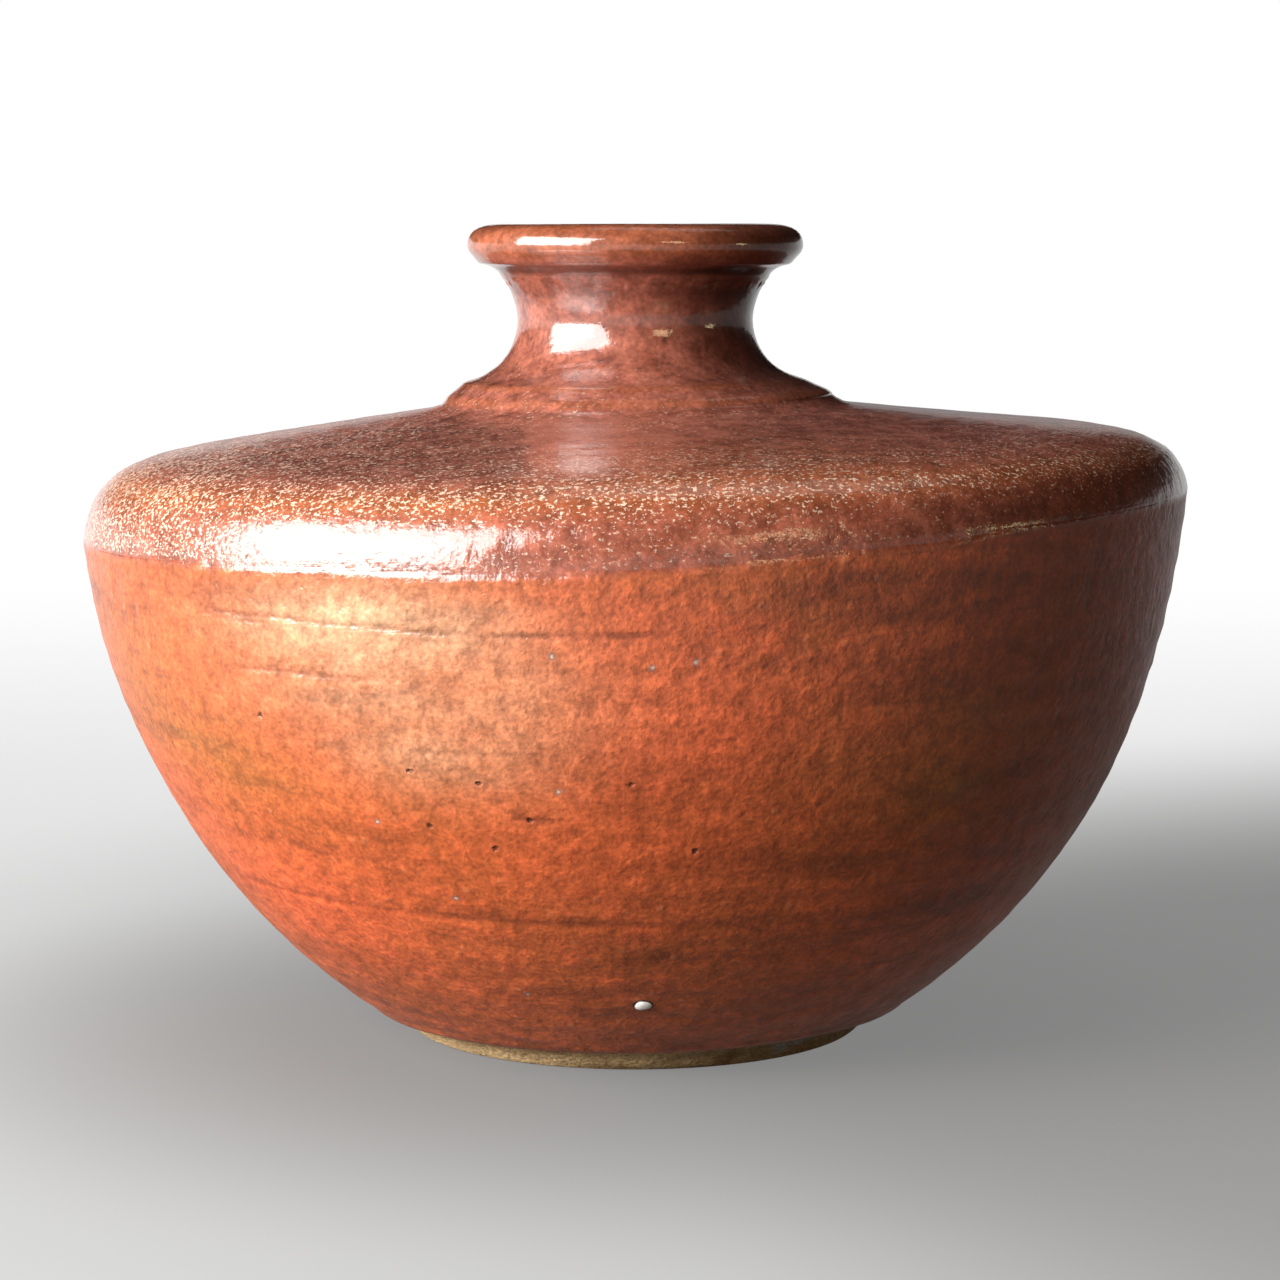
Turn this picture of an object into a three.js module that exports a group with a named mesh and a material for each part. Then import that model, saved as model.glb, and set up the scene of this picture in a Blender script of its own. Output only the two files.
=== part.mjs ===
// A squat stoneware vase: a wide bowl, a low leaning shoulder, a short waisted neck and a rolled lip.
// It is three thrown clay sections, luted with slip, with one glaze outside and another inside.
// Millimetres, +Z up. The origin is the middle of the foot, on the table, and the front looks along -Y.
import * as THREE from "three";

// Bowl section, from the table to the joint at the widest ring
const BODY_DIAMETER = 240; // over the glaze
const BOWL_HEIGHT = 114.3; // table to the middle of the joint
const FOOT_DIAMETER = 95; // bare clay
const FOOT_SLOPE = 28.9; // degrees that the belly rises at the foot
const BELLY_REACH = 75.6; // how far the belly keeps that slope before it turns up
const RIM_REACH = 7.7; // how far it keeps upright below the joint
const FOOT_WALL = 9; // belly wall at the foot
const BODY_WALL = 6.5; // wall at the joint
const FLOOR_THICKNESS = 7;
const FLOOR_REACH = 24; // how far the floor stays level from its middle
const FLOOR_CORNER = 14; // reach of the round corner between floor and belly
const RECESS_DEPTH = 3.5; // hollow turned under the foot
const FOOT_RING_WIDTH = 11; // clay ring that stands on the table
const RECESS_BEVEL = 2;

// Shoulder section, from the joint to the seat of the neck
const SHOULDER_RISE = 22.9; // middle of the joint to the seat
const EDGE_RISE = 15.3; // middle of the joint to the end of the rounded edge
const EDGE_WIDTH = 19.3; // how far in from the widest ring the rounded edge ends
const EDGE_REACH = 11; // how far the edge keeps upright above the joint
const EDGE_EASE = 9.7; // how far it keeps the slope of the flat shoulder
const SHOULDER_WALL = 6;

// Neck section, from its seat to the top of the lip
const COLLAR_DIAMETER = 82.5; // foot of the neck, bare clay
const SEAT_WIDTH = 8.25; // flat ring that the neck is luted on
const COLLAR_SLOPE = 45; // degrees
const COLLAR_REACH = 1.4;
const LEDGE_DIAMETER = 72.3; // top of the collar, bare clay
const LEDGE_RISE = 4.4; // foot of the neck to the top of the collar
const LEDGE_SLOPE = 13.3; // degrees
const LEDGE_BACK = 2.5; // reach of the ledge's curve towards the collar
const LEDGE_REACH = 8.6; // and towards the neck
const NECK_DIAMETER = 51.6; // at the waist, over the glaze
const WAIST_RISE = 18.6; // foot of the neck to the waist
const WAIST_REACH = 5.2; // how far the waist keeps upright, downwards
const WAIST_LIFT = 2; // and upwards
const NECK_WALL = 5.3; // at the waist
const THROAT_DROP = 8; // how far the throat keeps upright below the waist
const THROAT_FLARE = 6; // reach of the flare inside the foot of the neck
const THROAT_SLOPE = 35; // degrees, of that flare
const UNDERLIP_DIAMETER = 59; // where the flare turns into the lip, bare clay
const UNDERLIP_RISE = 29.3; // foot of the neck to that turn
const UNDERLIP_SLOPE = 39; // degrees
const UNDERLIP_REACH = 3.2;
const LIP_DIAMETER = 73.8; // over the glaze
const LIP_RISE = 34.9; // foot of the neck to the widest part of the lip
const LIP_REACH = 3.6; // roundness of the lip below that, and above it
const LIP_TOP_REACH = 3;
const NECK_HEIGHT = 38.2; // foot of the neck to the crest of the lip, bare clay
const CREST_DIAMETER = 58;
const CREST_REACH = 2.6;
const MOUTH_REACH = 2.5; // roundness of the crest towards the mouth
const MOUTH_DROP = 10; // how far the throat keeps upright above the waist

// Joints and coats
const SLIP_THICKNESS = 1;
const OUTER_GLAZE = 0.8;
const LINER_GLAZE = 0.6;
const GLAZE_LINE = 4.5; // height of the lower edge of the outer glaze

// The widest ring settled to one side: it is higher on +X and lower on -X
const LEAN_ANGLE = 2.4; // degrees, at the joint
const LEAN_START = 50; // height where the belly begins to lean

// Facets round the axis and along each curve
const SIDES = 40;
const BELLY_STEPS = 8;
const CURVE_STEPS = 4;
const LIP_STEPS = 3;

// Heights of the joints and the waist
const jointBottom = BOWL_HEIGHT - SLIP_THICKNESS / 2;
const jointTop = BOWL_HEIGHT + SLIP_THICKNESS / 2;
const seatHeight = BOWL_HEIGHT + SHOULDER_RISE;
const neckFoot = seatHeight + SLIP_THICKNESS;
const waistHeight = neckFoot + WAIST_RISE;

// Radii of the bare clay
const bodyRadius = BODY_DIAMETER / 2 - OUTER_GLAZE;
const jointInside = bodyRadius - BODY_WALL;
const footRadius = FOOT_DIAMETER / 2;
const collarRadius = COLLAR_DIAMETER / 2;
const seatInside = collarRadius - SEAT_WIDTH;
const neckRadius = NECK_DIAMETER / 2 - OUTER_GLAZE;
const throatRadius = neckRadius - NECK_WALL;
const lipRadius = LIP_DIAMETER / 2 - OUTER_GLAZE;

// Profiles are drawn in a half plane: x is the distance from the axis and y is the height.
const at = (radius, height) => new THREE.Vector2(radius, height);
const heading = (degrees) => at(1, 0).rotateAround(at(0, 0), THREE.MathUtils.degToRad(degrees));
const UP = heading(90);
const DOWN = heading(270);
const INWARDS = heading(180);

// A curve that leaves its start along one heading and arrives at its end along another.
function sweep(start, leaving, leavingReach, end, arriving, arrivingReach) {
  const first = start.clone().addScaledVector(leaving, leavingReach);
  const second = end.clone().addScaledVector(arriving, -arrivingReach);
  return new THREE.CubicBezierCurve(start, first, second, end);
}

// The unit normal on the right of the way from one point to the next.
function normalBetween(from, to) {
  const way = to.clone().sub(from).normalize();
  return at(way.y, -way.x);
}

// The shares of a length at the end of each of a number of even steps.
const evenShares = (steps) => Array.from({ length: steps }, (unused, step) => (step + 1) / steps);

// The share of a rising curve's length that lies below a height.
function shareBelow(curve, height) {
  let low = 0;
  let high = 1;
  const halvings = 40;
  for (let halving = 0; halving < halvings; halving += 1) {
    const middle = (low + high) / 2;
    if (curve.getPointAt(middle).y < height) low = middle;
    else high = middle;
  }
  return (low + high) / 2;
}

// Points on the inner face of a wall whose thickness changes evenly along its outer curve.
function innerFace(curve, shares, startWall, endWall) {
  return shares.map((share) => {
    const tangent = curve.getTangentAt(share);
    const wall = THREE.MathUtils.lerp(startWall, endWall, share);
    return curve.getPointAt(share).addScaledVector(at(tangent.y, -tangent.x), -wall);
  });
}

// Outer face of the bowl, from foot to joint, with a point on the glaze line and one just above it
const belly = sweep(
  at(footRadius, 0), heading(FOOT_SLOPE), BELLY_REACH,
  at(bodyRadius, jointBottom), UP, RIM_REACH,
);
const glazeShare = shareBelow(belly, GLAZE_LINE);
const glazeEdgeShare = glazeShare + OUTER_GLAZE / belly.getLength();
const bellyShares = evenShares(BELLY_STEPS).map((share) => THREE.MathUtils.lerp(glazeEdgeShare, 1, share));
const bareFoot = [belly.getPointAt(0)];
const glazedBelly = [glazeShare, glazeEdgeShare, ...bellyShares].map((share) => belly.getPointAt(share));

// Inner face of the bowl, from the joint down to the middle of the floor
const floorHeight = RECESS_DEPTH + FLOOR_THICKNESS;
const innerBelly = innerFace(belly, bellyShares.slice(0, -1), FOOT_WALL, BODY_WALL);
const lowestInner = innerBelly[0];
const wallHeading = innerBelly[1].clone().sub(lowestInner).normalize();
const floorCurve = sweep(
  at(0, floorHeight), heading(0), FLOOR_REACH,
  lowestInner, wallHeading, FLOOR_CORNER,
);
const bowlInside = [
  at(jointInside, jointBottom),
  ...innerBelly.slice(1).reverse(),
  ...floorCurve.getSpacedPoints(CURVE_STEPS).reverse(),
];

// Outer face of the shoulder, from the joint over its rounded edge to the seat
const edgeEnd = at(bodyRadius - EDGE_WIDTH, BOWL_HEIGHT + EDGE_RISE);
const seatOuter = at(collarRadius, seatHeight);
const shoulderHeading = seatOuter.clone().sub(edgeEnd).normalize();
const edge = sweep(
  at(bodyRadius, jointTop), UP, EDGE_REACH,
  edgeEnd, shoulderHeading, EDGE_EASE,
);
const shoulderOutside = [...edge.getSpacedPoints(CURVE_STEPS), seatOuter];

// Inner face of the shoulder, from the seat back to the joint
const shoulderInside = [
  at(seatInside, seatHeight),
  at(seatInside, seatHeight - SHOULDER_WALL),
  ...innerFace(edge, evenShares(CURVE_STEPS), BODY_WALL, SHOULDER_WALL).reverse(),
  at(jointInside, jointTop),
];

// Outer face of the neck: collar, ledge, waist, flare and the round of the lip
const ledge = at(LEDGE_DIAMETER / 2, neckFoot + LEDGE_RISE);
const ledgeHeading = heading(180 - LEDGE_SLOPE);
const waist = at(neckRadius, waistHeight);
const underlip = at(UNDERLIP_DIAMETER / 2, neckFoot + UNDERLIP_RISE);
const underlipHeading = heading(UNDERLIP_SLOPE);
const lip = at(lipRadius, neckFoot + LIP_RISE);
const crest = at(CREST_DIAMETER / 2, neckFoot + NECK_HEIGHT);
const collarFoot = at(collarRadius, neckFoot);
const neckCurves = [
  sweep(collarFoot, heading(180 - COLLAR_SLOPE), COLLAR_REACH, ledge, ledgeHeading, LEDGE_BACK),
  sweep(ledge, ledgeHeading, LEDGE_REACH, waist, UP, WAIST_REACH),
  sweep(waist, UP, WAIST_LIFT, underlip, underlipHeading, UNDERLIP_REACH),
  sweep(underlip, underlipHeading, UNDERLIP_REACH, lip, UP, LIP_REACH),
  sweep(lip, UP, LIP_TOP_REACH, crest, INWARDS, CREST_REACH),
];
const neckRuns = neckCurves.flatMap((curve) => curve.getSpacedPoints(LIP_STEPS).slice(1));
const neckOutside = [collarFoot, ...neckRuns];

// Inner face of the neck, in two runs that meet at the waist, where the two glazes meet
const throat = at(throatRadius, waistHeight);
const mouth = sweep(crest, INWARDS, MOUTH_REACH, throat, DOWN, MOUTH_DROP);
const throatFoot = at(seatInside, neckFoot);
const throatFlare = sweep(throat, DOWN, THROAT_DROP, throatFoot, heading(-THROAT_SLOPE), THROAT_FLARE);
const mouthInside = mouth.getSpacedPoints(CURVE_STEPS);
const throatInside = throatFlare.getSpacedPoints(CURVE_STEPS);

// The free face of a coat on a wall: each point moves out along the wall's normal, mitred at corners.
function coatFace(wall, thickness, firstNormal, lastNormal) {
  const last = wall.length - 1;
  return wall.map((point, index) => {
    if (index === 0) return point.clone().addScaledVector(firstNormal, thickness);
    if (index === last) return point.clone().addScaledVector(lastNormal, thickness);
    const before = normalBetween(wall[index - 1], point);
    const after = normalBetween(point, wall[index + 1]);
    const mitre = before.add(after).normalize();
    return point.clone().addScaledVector(mitre, thickness / mitre.dot(after));
  });
}

// How far a level ring at this height tips up per millimetre towards +X.
function leanAt(height) {
  const rising = THREE.MathUtils.smoothstep(height, LEAN_START, BOWL_HEIGHT);
  const fading = 1 - THREE.MathUtils.smoothstep(height, BOWL_HEIGHT, waistHeight);
  return Math.tan(THREE.MathUtils.degToRad(LEAN_ANGLE)) * rising * fading;
}

// Turns a profile round the axis. Each four-sided facet is split along the same diagonal whichever way
// the profile runs, so that two bodies that share a wall share its triangles.
function turned(profile) {
  const lathe = new THREE.LatheGeometry(profile, SIDES);
  const rows = profile.length;
  const triangles = [];
  for (let side = 0; side < SIDES; side += 1) {
    for (let row = 0; row < rows - 1; row += 1) {
      const near = side * rows + row;
      const far = near + rows;
      const rises = profile[row + 1].y - profile[row].y || profile[row].x - profile[row + 1].x;
      if (rises > 0) triangles.push(near, far, near + 1, far + 1, near + 1, far);
      else triangles.push(near, far, far + 1, near, far + 1, near + 1);
    }
  }
  const body = new THREE.BufferGeometry();
  body.setAttribute("position", lathe.getAttribute("position"));
  body.setIndex(triangles);
  body.rotateX(Math.PI / 2);
  const places = body.getAttribute("position");
  for (let i = 0; i < places.count; i += 1) {
    const height = places.getZ(i);
    places.setZ(i, height + leanAt(height) * places.getX(i));
  }
  body.computeVertexNormals();
  return body;
}

const ring = (profile) => turned([...profile, profile[0]]);

const vase = new THREE.Group();
vase.name = "vase";

function addPiece(name, geometry, finish) {
  const material = new THREE.MeshStandardMaterial({ ...finish, metalness: 0 });
  const mesh = new THREE.Mesh(geometry, material);
  mesh.name = name;
  vase.add(mesh);
}

const CLAY = { color: 0xb39a80, roughness: 0.85 };
const SLIP = { color: 0x9c8a76, roughness: 0.9 };
const IRON_GLAZE = { color: 0x9c4a2a, roughness: 0.28 };
const LINER = { color: 0x5a3322, roughness: 0.35 };

// Clay sections
const ringInside = footRadius - FOOT_RING_WIDTH;
const underside = [
  at(0, RECESS_DEPTH),
  at(ringInside - RECESS_BEVEL, RECESS_DEPTH),
  at(ringInside, 0),
];
addPiece("bowl_section", turned([...underside, ...bareFoot, ...glazedBelly, ...bowlInside]), CLAY);
addPiece("shoulder_section", ring([...shoulderOutside, ...shoulderInside]), CLAY);
const neckInside = [...mouthInside.slice(1), ...throatInside.slice(1)];
addPiece("neck_section", ring([...neckOutside, ...neckInside]), CLAY);

// Slip in the two luted joints
function slipRing(outside, inside, bottom, top) {
  return ring([at(outside, bottom), at(outside, top), at(inside, top), at(inside, bottom)]);
}
addPiece("bowl_joint_slip", slipRing(bodyRadius, jointInside, jointBottom, jointTop), SLIP);
addPiece("neck_joint_slip", slipRing(collarRadius, seatInside, seatHeight, neckFoot), SLIP);

// Outer glaze, from the glaze line over the lip to the waist of the throat
const outerWall = [...glazedBelly, ...shoulderOutside, ...neckOutside, ...mouthInside.slice(1)];
const coatedWall = outerWall.slice(1);
const outerFace = coatFace(coatedWall, OUTER_GLAZE, normalBetween(outerWall[0], outerWall[1]), INWARDS);
addPiece("outer_glaze", ring([...outerFace, ...outerWall.toReversed()]), IRON_GLAZE);

// Liner glaze, from the waist of the throat down to the middle of the floor
const innerWall = [...throatInside, ...shoulderInside, ...bowlInside];
const innerCoat = coatFace(innerWall, LINER_GLAZE, INWARDS, UP);
addPiece("liner_glaze", turned([...innerWall.toReversed(), ...innerCoat]), LINER);

export default vase;
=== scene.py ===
"""A squat stoneware vase: three thrown clay sections, two slip joints, an iron glaze and a liner glaze.

Run as a script it registers the operators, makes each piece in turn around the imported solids, and stands
the vase on a pale floor in front of the camera. Lengths are metres, +Z is up, the front looks along -Y.
"""

import bpy
import numpy as np
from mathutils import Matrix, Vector


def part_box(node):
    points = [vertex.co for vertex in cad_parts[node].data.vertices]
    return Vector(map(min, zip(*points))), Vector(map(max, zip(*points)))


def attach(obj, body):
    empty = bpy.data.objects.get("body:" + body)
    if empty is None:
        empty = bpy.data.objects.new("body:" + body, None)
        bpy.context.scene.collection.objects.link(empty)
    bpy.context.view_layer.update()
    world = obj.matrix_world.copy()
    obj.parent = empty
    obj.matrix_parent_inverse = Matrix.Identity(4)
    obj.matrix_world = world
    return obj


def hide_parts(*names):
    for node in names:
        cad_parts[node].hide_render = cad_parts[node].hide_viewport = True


bl_info = {
    "name": "Stoneware vase",
    "version": (1, 0, 0),
    "blender": (4, 5, 0),
    "location": "View3D > Sidebar > Vase",
    "description": "Makes the clay, slip and glaze of a squat stoneware vase, and its studio",
    "category": "Object",
}

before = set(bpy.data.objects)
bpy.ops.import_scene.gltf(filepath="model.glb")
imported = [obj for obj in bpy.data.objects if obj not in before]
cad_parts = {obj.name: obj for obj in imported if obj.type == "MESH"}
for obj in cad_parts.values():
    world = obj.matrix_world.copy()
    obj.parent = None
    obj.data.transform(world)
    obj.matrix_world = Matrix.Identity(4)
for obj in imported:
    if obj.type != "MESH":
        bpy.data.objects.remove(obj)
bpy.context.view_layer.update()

MM = 0.001
UP = np.pi / 2
INWARDS = np.pi
DOWN = 3 * np.pi / 2

# Sizes that the solids give: the joint at the widest ring, the seat of the neck, the crest and the two coats
JOINT_LOW, JOINT_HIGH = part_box("bowl_joint_slip")
SEAT_LOW, SEAT_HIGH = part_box("neck_joint_slip")
BODY_RADIUS = JOINT_HIGH.y
JOINT_HEIGHT = (JOINT_LOW.z + JOINT_HIGH.z) / 2
JOINT_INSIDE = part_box("liner_glaze")[1].y
COLLAR_RADIUS = SEAT_HIGH.y
SEAT_MIDDLE = (SEAT_LOW.z + SEAT_HIGH.z) / 2
CREST_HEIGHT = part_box("neck_section")[1].z
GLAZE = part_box("outer_glaze")[1].y - BODY_RADIUS


def linear(hex_colour):
    """A colour written as sRGB hex, such as "C0602A", as linear red, green and blue."""
    share = np.array([int(hex_colour[place:place + 2], 16) for place in (0, 2, 4)]) / 255
    return np.where(share <= 0.04045, share / 12.92, ((share + 0.055) / 1.055) ** 2.4)


def length(name, description, millimetres):
    """A length in the sidebar."""
    return bpy.props.FloatProperty(
        name=name, description=description, default=millimetres * MM, unit="LENGTH", precision=4
    )


def angle(name, description, degrees):
    """An angle in the sidebar."""
    return bpy.props.FloatProperty(
        name=name, description=description, default=np.radians(degrees), subtype="ANGLE"
    )


def colour(name, description, hex_colour):
    """A colour in the sidebar."""
    return bpy.props.FloatVectorProperty(
        name=name, description=description, default=tuple(linear(hex_colour)),
        subtype="COLOR", size=3, min=0.0, max=1.0,
    )


def power(name, description, watts):
    """The power of a lamp in the sidebar."""
    return bpy.props.FloatProperty(name=name, description=description, default=watts, unit="POWER")


class VaseForm(bpy.types.PropertyGroup):
    """The thrown form: bare clay, measured on the half section."""

    foot_diameter: length("Foot", "Bare clay where the vase stands", 95)
    foot_edge: length("Foot edge", "How far the turned edge of the foot stands out below the belly", 2.2)
    foot_edge_rise: length("Foot edge rise", "Height of that edge", 3.0)
    foot_slope: angle("Foot slope", "How steeply the belly rises at the foot", 28.9)
    belly_reach: length("Belly reach", "How far the belly keeps that slope", 75.6)
    rim_reach: length("Rim reach", "How far the belly keeps upright below the joint", 7.7)
    foot_wall: length("Foot wall", "Belly wall at the foot", 9)
    floor_thickness: length("Floor", "Thickness of the floor", 7)
    floor_reach: length("Floor reach", "How far the floor stays level", 24)
    floor_corner: length("Floor corner", "Reach of the round corner inside", 14)
    recess_depth: length("Recess", "Depth of the hollow turned under the foot", 3.5)
    ring_width: length("Foot ring", "Width of the ring that stands on the table", 11)
    recess_bevel: length("Recess bevel", "Bevel at the edge of the hollow", 2)
    slip_thickness: length("Slip", "Thickness of the slip in the joints", 1)
    edge_rise: length("Edge rise", "Joint to the end of the rounded edge", 15.3)
    edge_width: length("Edge width", "How far in the rounded edge ends", 19.3)
    edge_reach: length("Edge reach", "How far the edge keeps upright", 11)
    edge_ease: length("Edge ease", "How far it keeps the slope of the shoulder", 9.7)
    shoulder_wall: length("Shoulder wall", "Wall of the flat shoulder", 6)
    seat_width: length("Seat", "Flat ring that the neck is luted on", 8.25)
    collar_slope: angle("Collar slope", "Slope of the collar", 45)
    collar_reach: length("Collar reach", "How far the collar keeps that slope", 1.4)
    ledge_diameter: length("Ledge", "Top of the collar", 72.3)
    ledge_rise: length("Ledge rise", "Foot of the neck to the top of the collar", 4.4)
    ledge_slope: angle("Ledge slope", "Slope of the ledge", 13.3)
    ledge_back: length("Ledge back", "Reach of its curve towards the collar", 2.5)
    ledge_reach: length("Ledge reach", "Reach of its curve towards the neck", 8.6)
    waist_diameter: length("Waist", "The neck at its waist", 50)
    waist_rise: length("Waist rise", "Foot of the neck to the waist", 18.6)
    waist_reach: length("Waist reach", "How far the waist keeps upright, downwards", 5.2)
    waist_lift: length("Waist lift", "How far the waist keeps upright, upwards", 2)
    neck_wall: length("Neck wall", "Wall at the waist", 5.3)
    throat_drop: length("Throat drop", "How far the throat keeps upright below the waist", 8)
    throat_flare: length("Throat flare", "Reach of the flare inside the foot of the neck", 6)
    throat_slope: angle("Throat slope", "Slope of that flare", 35)
    underlip_diameter: length("Underlip", "Where the flare turns into the lip", 59)
    underlip_rise: length("Underlip rise", "Foot of the neck to that turn", 29.3)
    underlip_slope: angle("Underlip slope", "Slope at that turn", 39)
    underlip_reach: length("Underlip reach", "Reach of the curves at that turn", 3.2)
    lip_diameter: length("Lip", "Widest part of the lip", 72.2)
    lip_rise: length("Lip rise", "Foot of the neck to the widest part of the lip", 34.9)
    lip_reach: length("Lip round", "Roundness of the lip below its widest part", 3.6)
    lip_top_reach: length("Lip top", "Roundness of the lip above its widest part", 3)
    crest_diameter: length("Crest", "Highest ring of the lip", 58)
    crest_reach: length("Crest round", "Roundness of the crest, outwards", 2.6)
    mouth_reach: length("Mouth round", "Roundness of the crest towards the mouth", 2.5)
    mouth_drop: length("Mouth drop", "How far the throat keeps upright above the waist", 10)
    glaze_line: length("Glaze line", "Lowest height of the outer glaze", 4.5)
    liner_thickness: length("Liner", "Thickness of the glaze inside", 0.6)
    lean: angle("Lean", "How far the widest ring tips up towards +X", 2.4)
    lean_start: length("Lean start", "Height where the belly begins to lean", 50)


class ThrowingMarks(bpy.types.PropertyGroup):
    """Marks that the hands and the tools left in the clay, and the glaze over them."""

    ring_height: length("Throwing rings", "Height of the rings that the fingers left", 0.22)
    ring_spacing: length("Ring spacing", "Distance between those rings", 7.5)
    wobble: length("Wobble", "How far the walls are out of round", 0.45)
    arris_height: length("Arris", "Height of the arris at the widest ring", 0.6)
    collar_fill: length("Collar fill", "Slip smoothed into the angle of the collar", 1.9)
    groove_depth: length("Groove", "Depth of the dragged grooves", 0.55)
    groove_width: length("Groove width", "Half width of the dragged grooves", 0.42)
    ridge_height: length("Neck ridges", "Height of the ridges under the lip", 0.45)
    bead_height: length("Bead", "Height of the blistered bead under the lip", 0.35)
    line_waver: length("Line waver", "How far the glaze line wavers", 0.7)
    line_rise: length("Line rise", "How much higher the glaze line runs on the right", 2.6)
    trimming_depth: length("Trimming", "Depth of the rings turned into the foot", 0.16)
    grit_height: length("Grit", "Height of the grit on the bare clay", 0.09)


class VaseColours(bpy.types.PropertyGroup):
    """Colours of the fired surfaces."""

    iron_red: colour("Iron red", "The belly where the iron reddened", "C15F34")
    iron_brown: colour("Iron brown", "The belly where the glaze is thicker", "A8542A")
    iron_dark: colour("Iron dark", "Smudges drawn along by the wheel", "7C3B1D")
    # Painted sheen: this pale colour, laid in patches on the upper left of the belly below the highlight,
    # stands in for the softbox's sheen; it also pales the blisters a little
    bloomed: colour("Bloom", "Pale film over the glaze", "DCA880")
    flame: colour("Flame", "Where the flame flashed the belly", "DC6238")
    olive: colour("Olive", "Where the glaze stayed brown-green", "A0652F")
    # The shoulder's purple-brown: the glaze's own colour, with a grey-purple tint that is partly a painted
    # reflection of the bright surroundings on its upward faces
    plum: colour("Plum", "The glaze lying thick on the shoulder", "9A5A4A")
    plum_dark: colour("Dark plum", "The shoulder's darker clouds", "733C30")
    break_brown: colour("Break", "The glaze breaking thin over an edge", "A5582B")
    # Glaze that pools in hollows, pits and round the fleck; the same dark colour is laid on the right of the
    # body and the neck as painted shade
    pooled: colour("Pooled", "The glaze pooled in a hollow", "3A1710")
    # Fine crystals, which as pale flakes on the shoulder also stand in for glints: painted glints, denser on
    # the lit left; also the cores of the ash specks
    crystal: colour("Crystal", "Fine crystals on the shoulder", "E8C8AE")
    ash_grey: colour("Ash grey", "Blue-grey specks of ash", "7C7C78")
    clay_buff: colour("Buff clay", "The bare clay", "E4BE8A")
    clay_dark: colour("Toasted clay", "The bare clay where it toasted", "9C7444")
    clay_grit: colour("Grit", "Dark grit in the clay", "3B2A1C")
    kiln_wash: colour("Kiln wash", "White shelf wash stuck to the foot", "D8D6CC")
    slip: colour("Slip", "The luting slip", "8A7460")
    liner_brown: colour("Liner", "The glaze inside", "4A2415")
    feldspar: colour("Feldspar", "The white fleck near the foot", "F4F1EA")


class StudioSetup(bpy.types.PropertyGroup):
    """Camera, lights and floor."""

    camera_distance: length("Camera distance", "From the axis of the vase", 780)
    camera_height: length("Camera height", "Above the table", 178)
    camera_lens: bpy.props.FloatProperty(
        name="Lens", description="Focal length on a 36 mm sensor", default=99.55, unit="CAMERA"
    )
    camera_pitch: angle("Camera pitch", "How far the camera looks down", 6.77)
    camera_yaw: angle("Camera yaw", "How far the camera looks to the left", -0.08)
    key_watts: power("Key", "The large softbox on the left", 42.0)
    core_watts: power("Core", "The brighter middle of that softbox", 10.5)
    warm_watts: power("Warm lamp", "The small warm lamp at the front", 0.36)
    card_watts: power("Right card", "The small warm card on the right", 0.36)
    back_watts: power("Back", "The softbox above the back", 0.8)
    world_level: bpy.props.FloatProperty(
        name="World", description="Light from all round", default=0.01, min=0.0, max=1.0, subtype="FACTOR"
    )
    floor_colour: colour("Floor", "The pale floor", "5E5C5A")


GROUPS = {
    "vase_form": VaseForm, "vase_marks": ThrowingMarks, "vase_colours": VaseColours,
    "vase_studio": StudioSetup,
}


# Profiles: arrays of (radius, height) points on the half section

SWEEP_STEPS = 160
FINE_STEP = 0.2 * MM
SAME_PLACE = 1e-7
SPREADS_KEPT = 3


def heading(turn):
    """The unit vector at an angle above outwards."""
    return np.array((np.cos(turn), np.sin(turn)))


def sweep(start, leaving, leaving_reach, end, arriving, arriving_reach):
    """A curve between two points: the cubic blend of the start, a point one reach ahead of it along the
    heading it leaves by, a point one reach behind the end along the heading it arrives by, and the end."""
    start = np.asarray(start, float)
    end = np.asarray(end, float)
    ahead = start + heading(leaving) * leaving_reach
    behind = end - heading(arriving) * arriving_reach
    share = np.linspace(0.0, 1.0, SWEEP_STEPS)[:, None]
    left = 1 - share
    return left**3 * start + 3 * left**2 * share * ahead + 3 * left * share**2 * behind + share**3 * end


def arc_along(profile):
    """The length gone along a profile, at each of its points."""
    return np.append(0.0, np.cumsum(np.linalg.norm(np.diff(profile, axis=0), axis=1)))


def normals_of(profile):
    """Unit normals on the right of the way along a profile: its slope turned a quarter clockwise."""
    way = np.gradient(profile, axis=0)
    way /= np.linalg.norm(way, axis=1)[:, None]
    return np.column_stack((way[:, 1], -way[:, 0]))


def at_arcs(profile, arcs, values=None):
    """Radii and heights of a profile, or pairs of values kept at its points, at given lengths along it."""
    gone = arc_along(profile)
    values = profile if values is None else values
    return [np.interp(arcs, gone, values[:, axis]) for axis in (0, 1)]


def joined(*runs):
    """Runs of points as one profile, without the points that two runs share."""
    profile = np.vstack([np.atleast_2d(run) for run in runs])
    moved = np.linalg.norm(np.diff(profile, axis=0), axis=1) > SAME_PLACE
    return profile[np.append(True, moved)]


def eased(profile, softness, closed=False):
    """A profile with its corners rounded: points at even fine steps, each averaged with its neighbours by a
    bell curve whose spread is the softness. An open profile keeps its ends, and a closed one runs round."""
    if closed:
        profile = joined(profile, profile[:1])
    total = arc_along(profile)[-1]
    count = int(total / FINE_STEP) + 1
    fine = np.column_stack(at_arcs(profile, np.linspace(0.0, total, count)))
    reach = int(SPREADS_KEPT * softness / FINE_STEP) + 1
    weights = np.exp(-0.5 * (np.arange(-reach, reach + 1) * FINE_STEP / softness) ** 2)
    weights /= weights.sum()
    if closed:
        padded = np.vstack((fine[-reach - 1:-1], fine, fine[1:reach + 1]))
    else:
        before = 2 * fine[0] - fine[reach:0:-1]
        after = 2 * fine[-1] - fine[-2:-reach - 2:-1]
        padded = np.vstack((before, fine, after))
    return np.column_stack([np.convolve(padded[:, axis], weights, mode="valid") for axis in (0, 1)])


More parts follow.
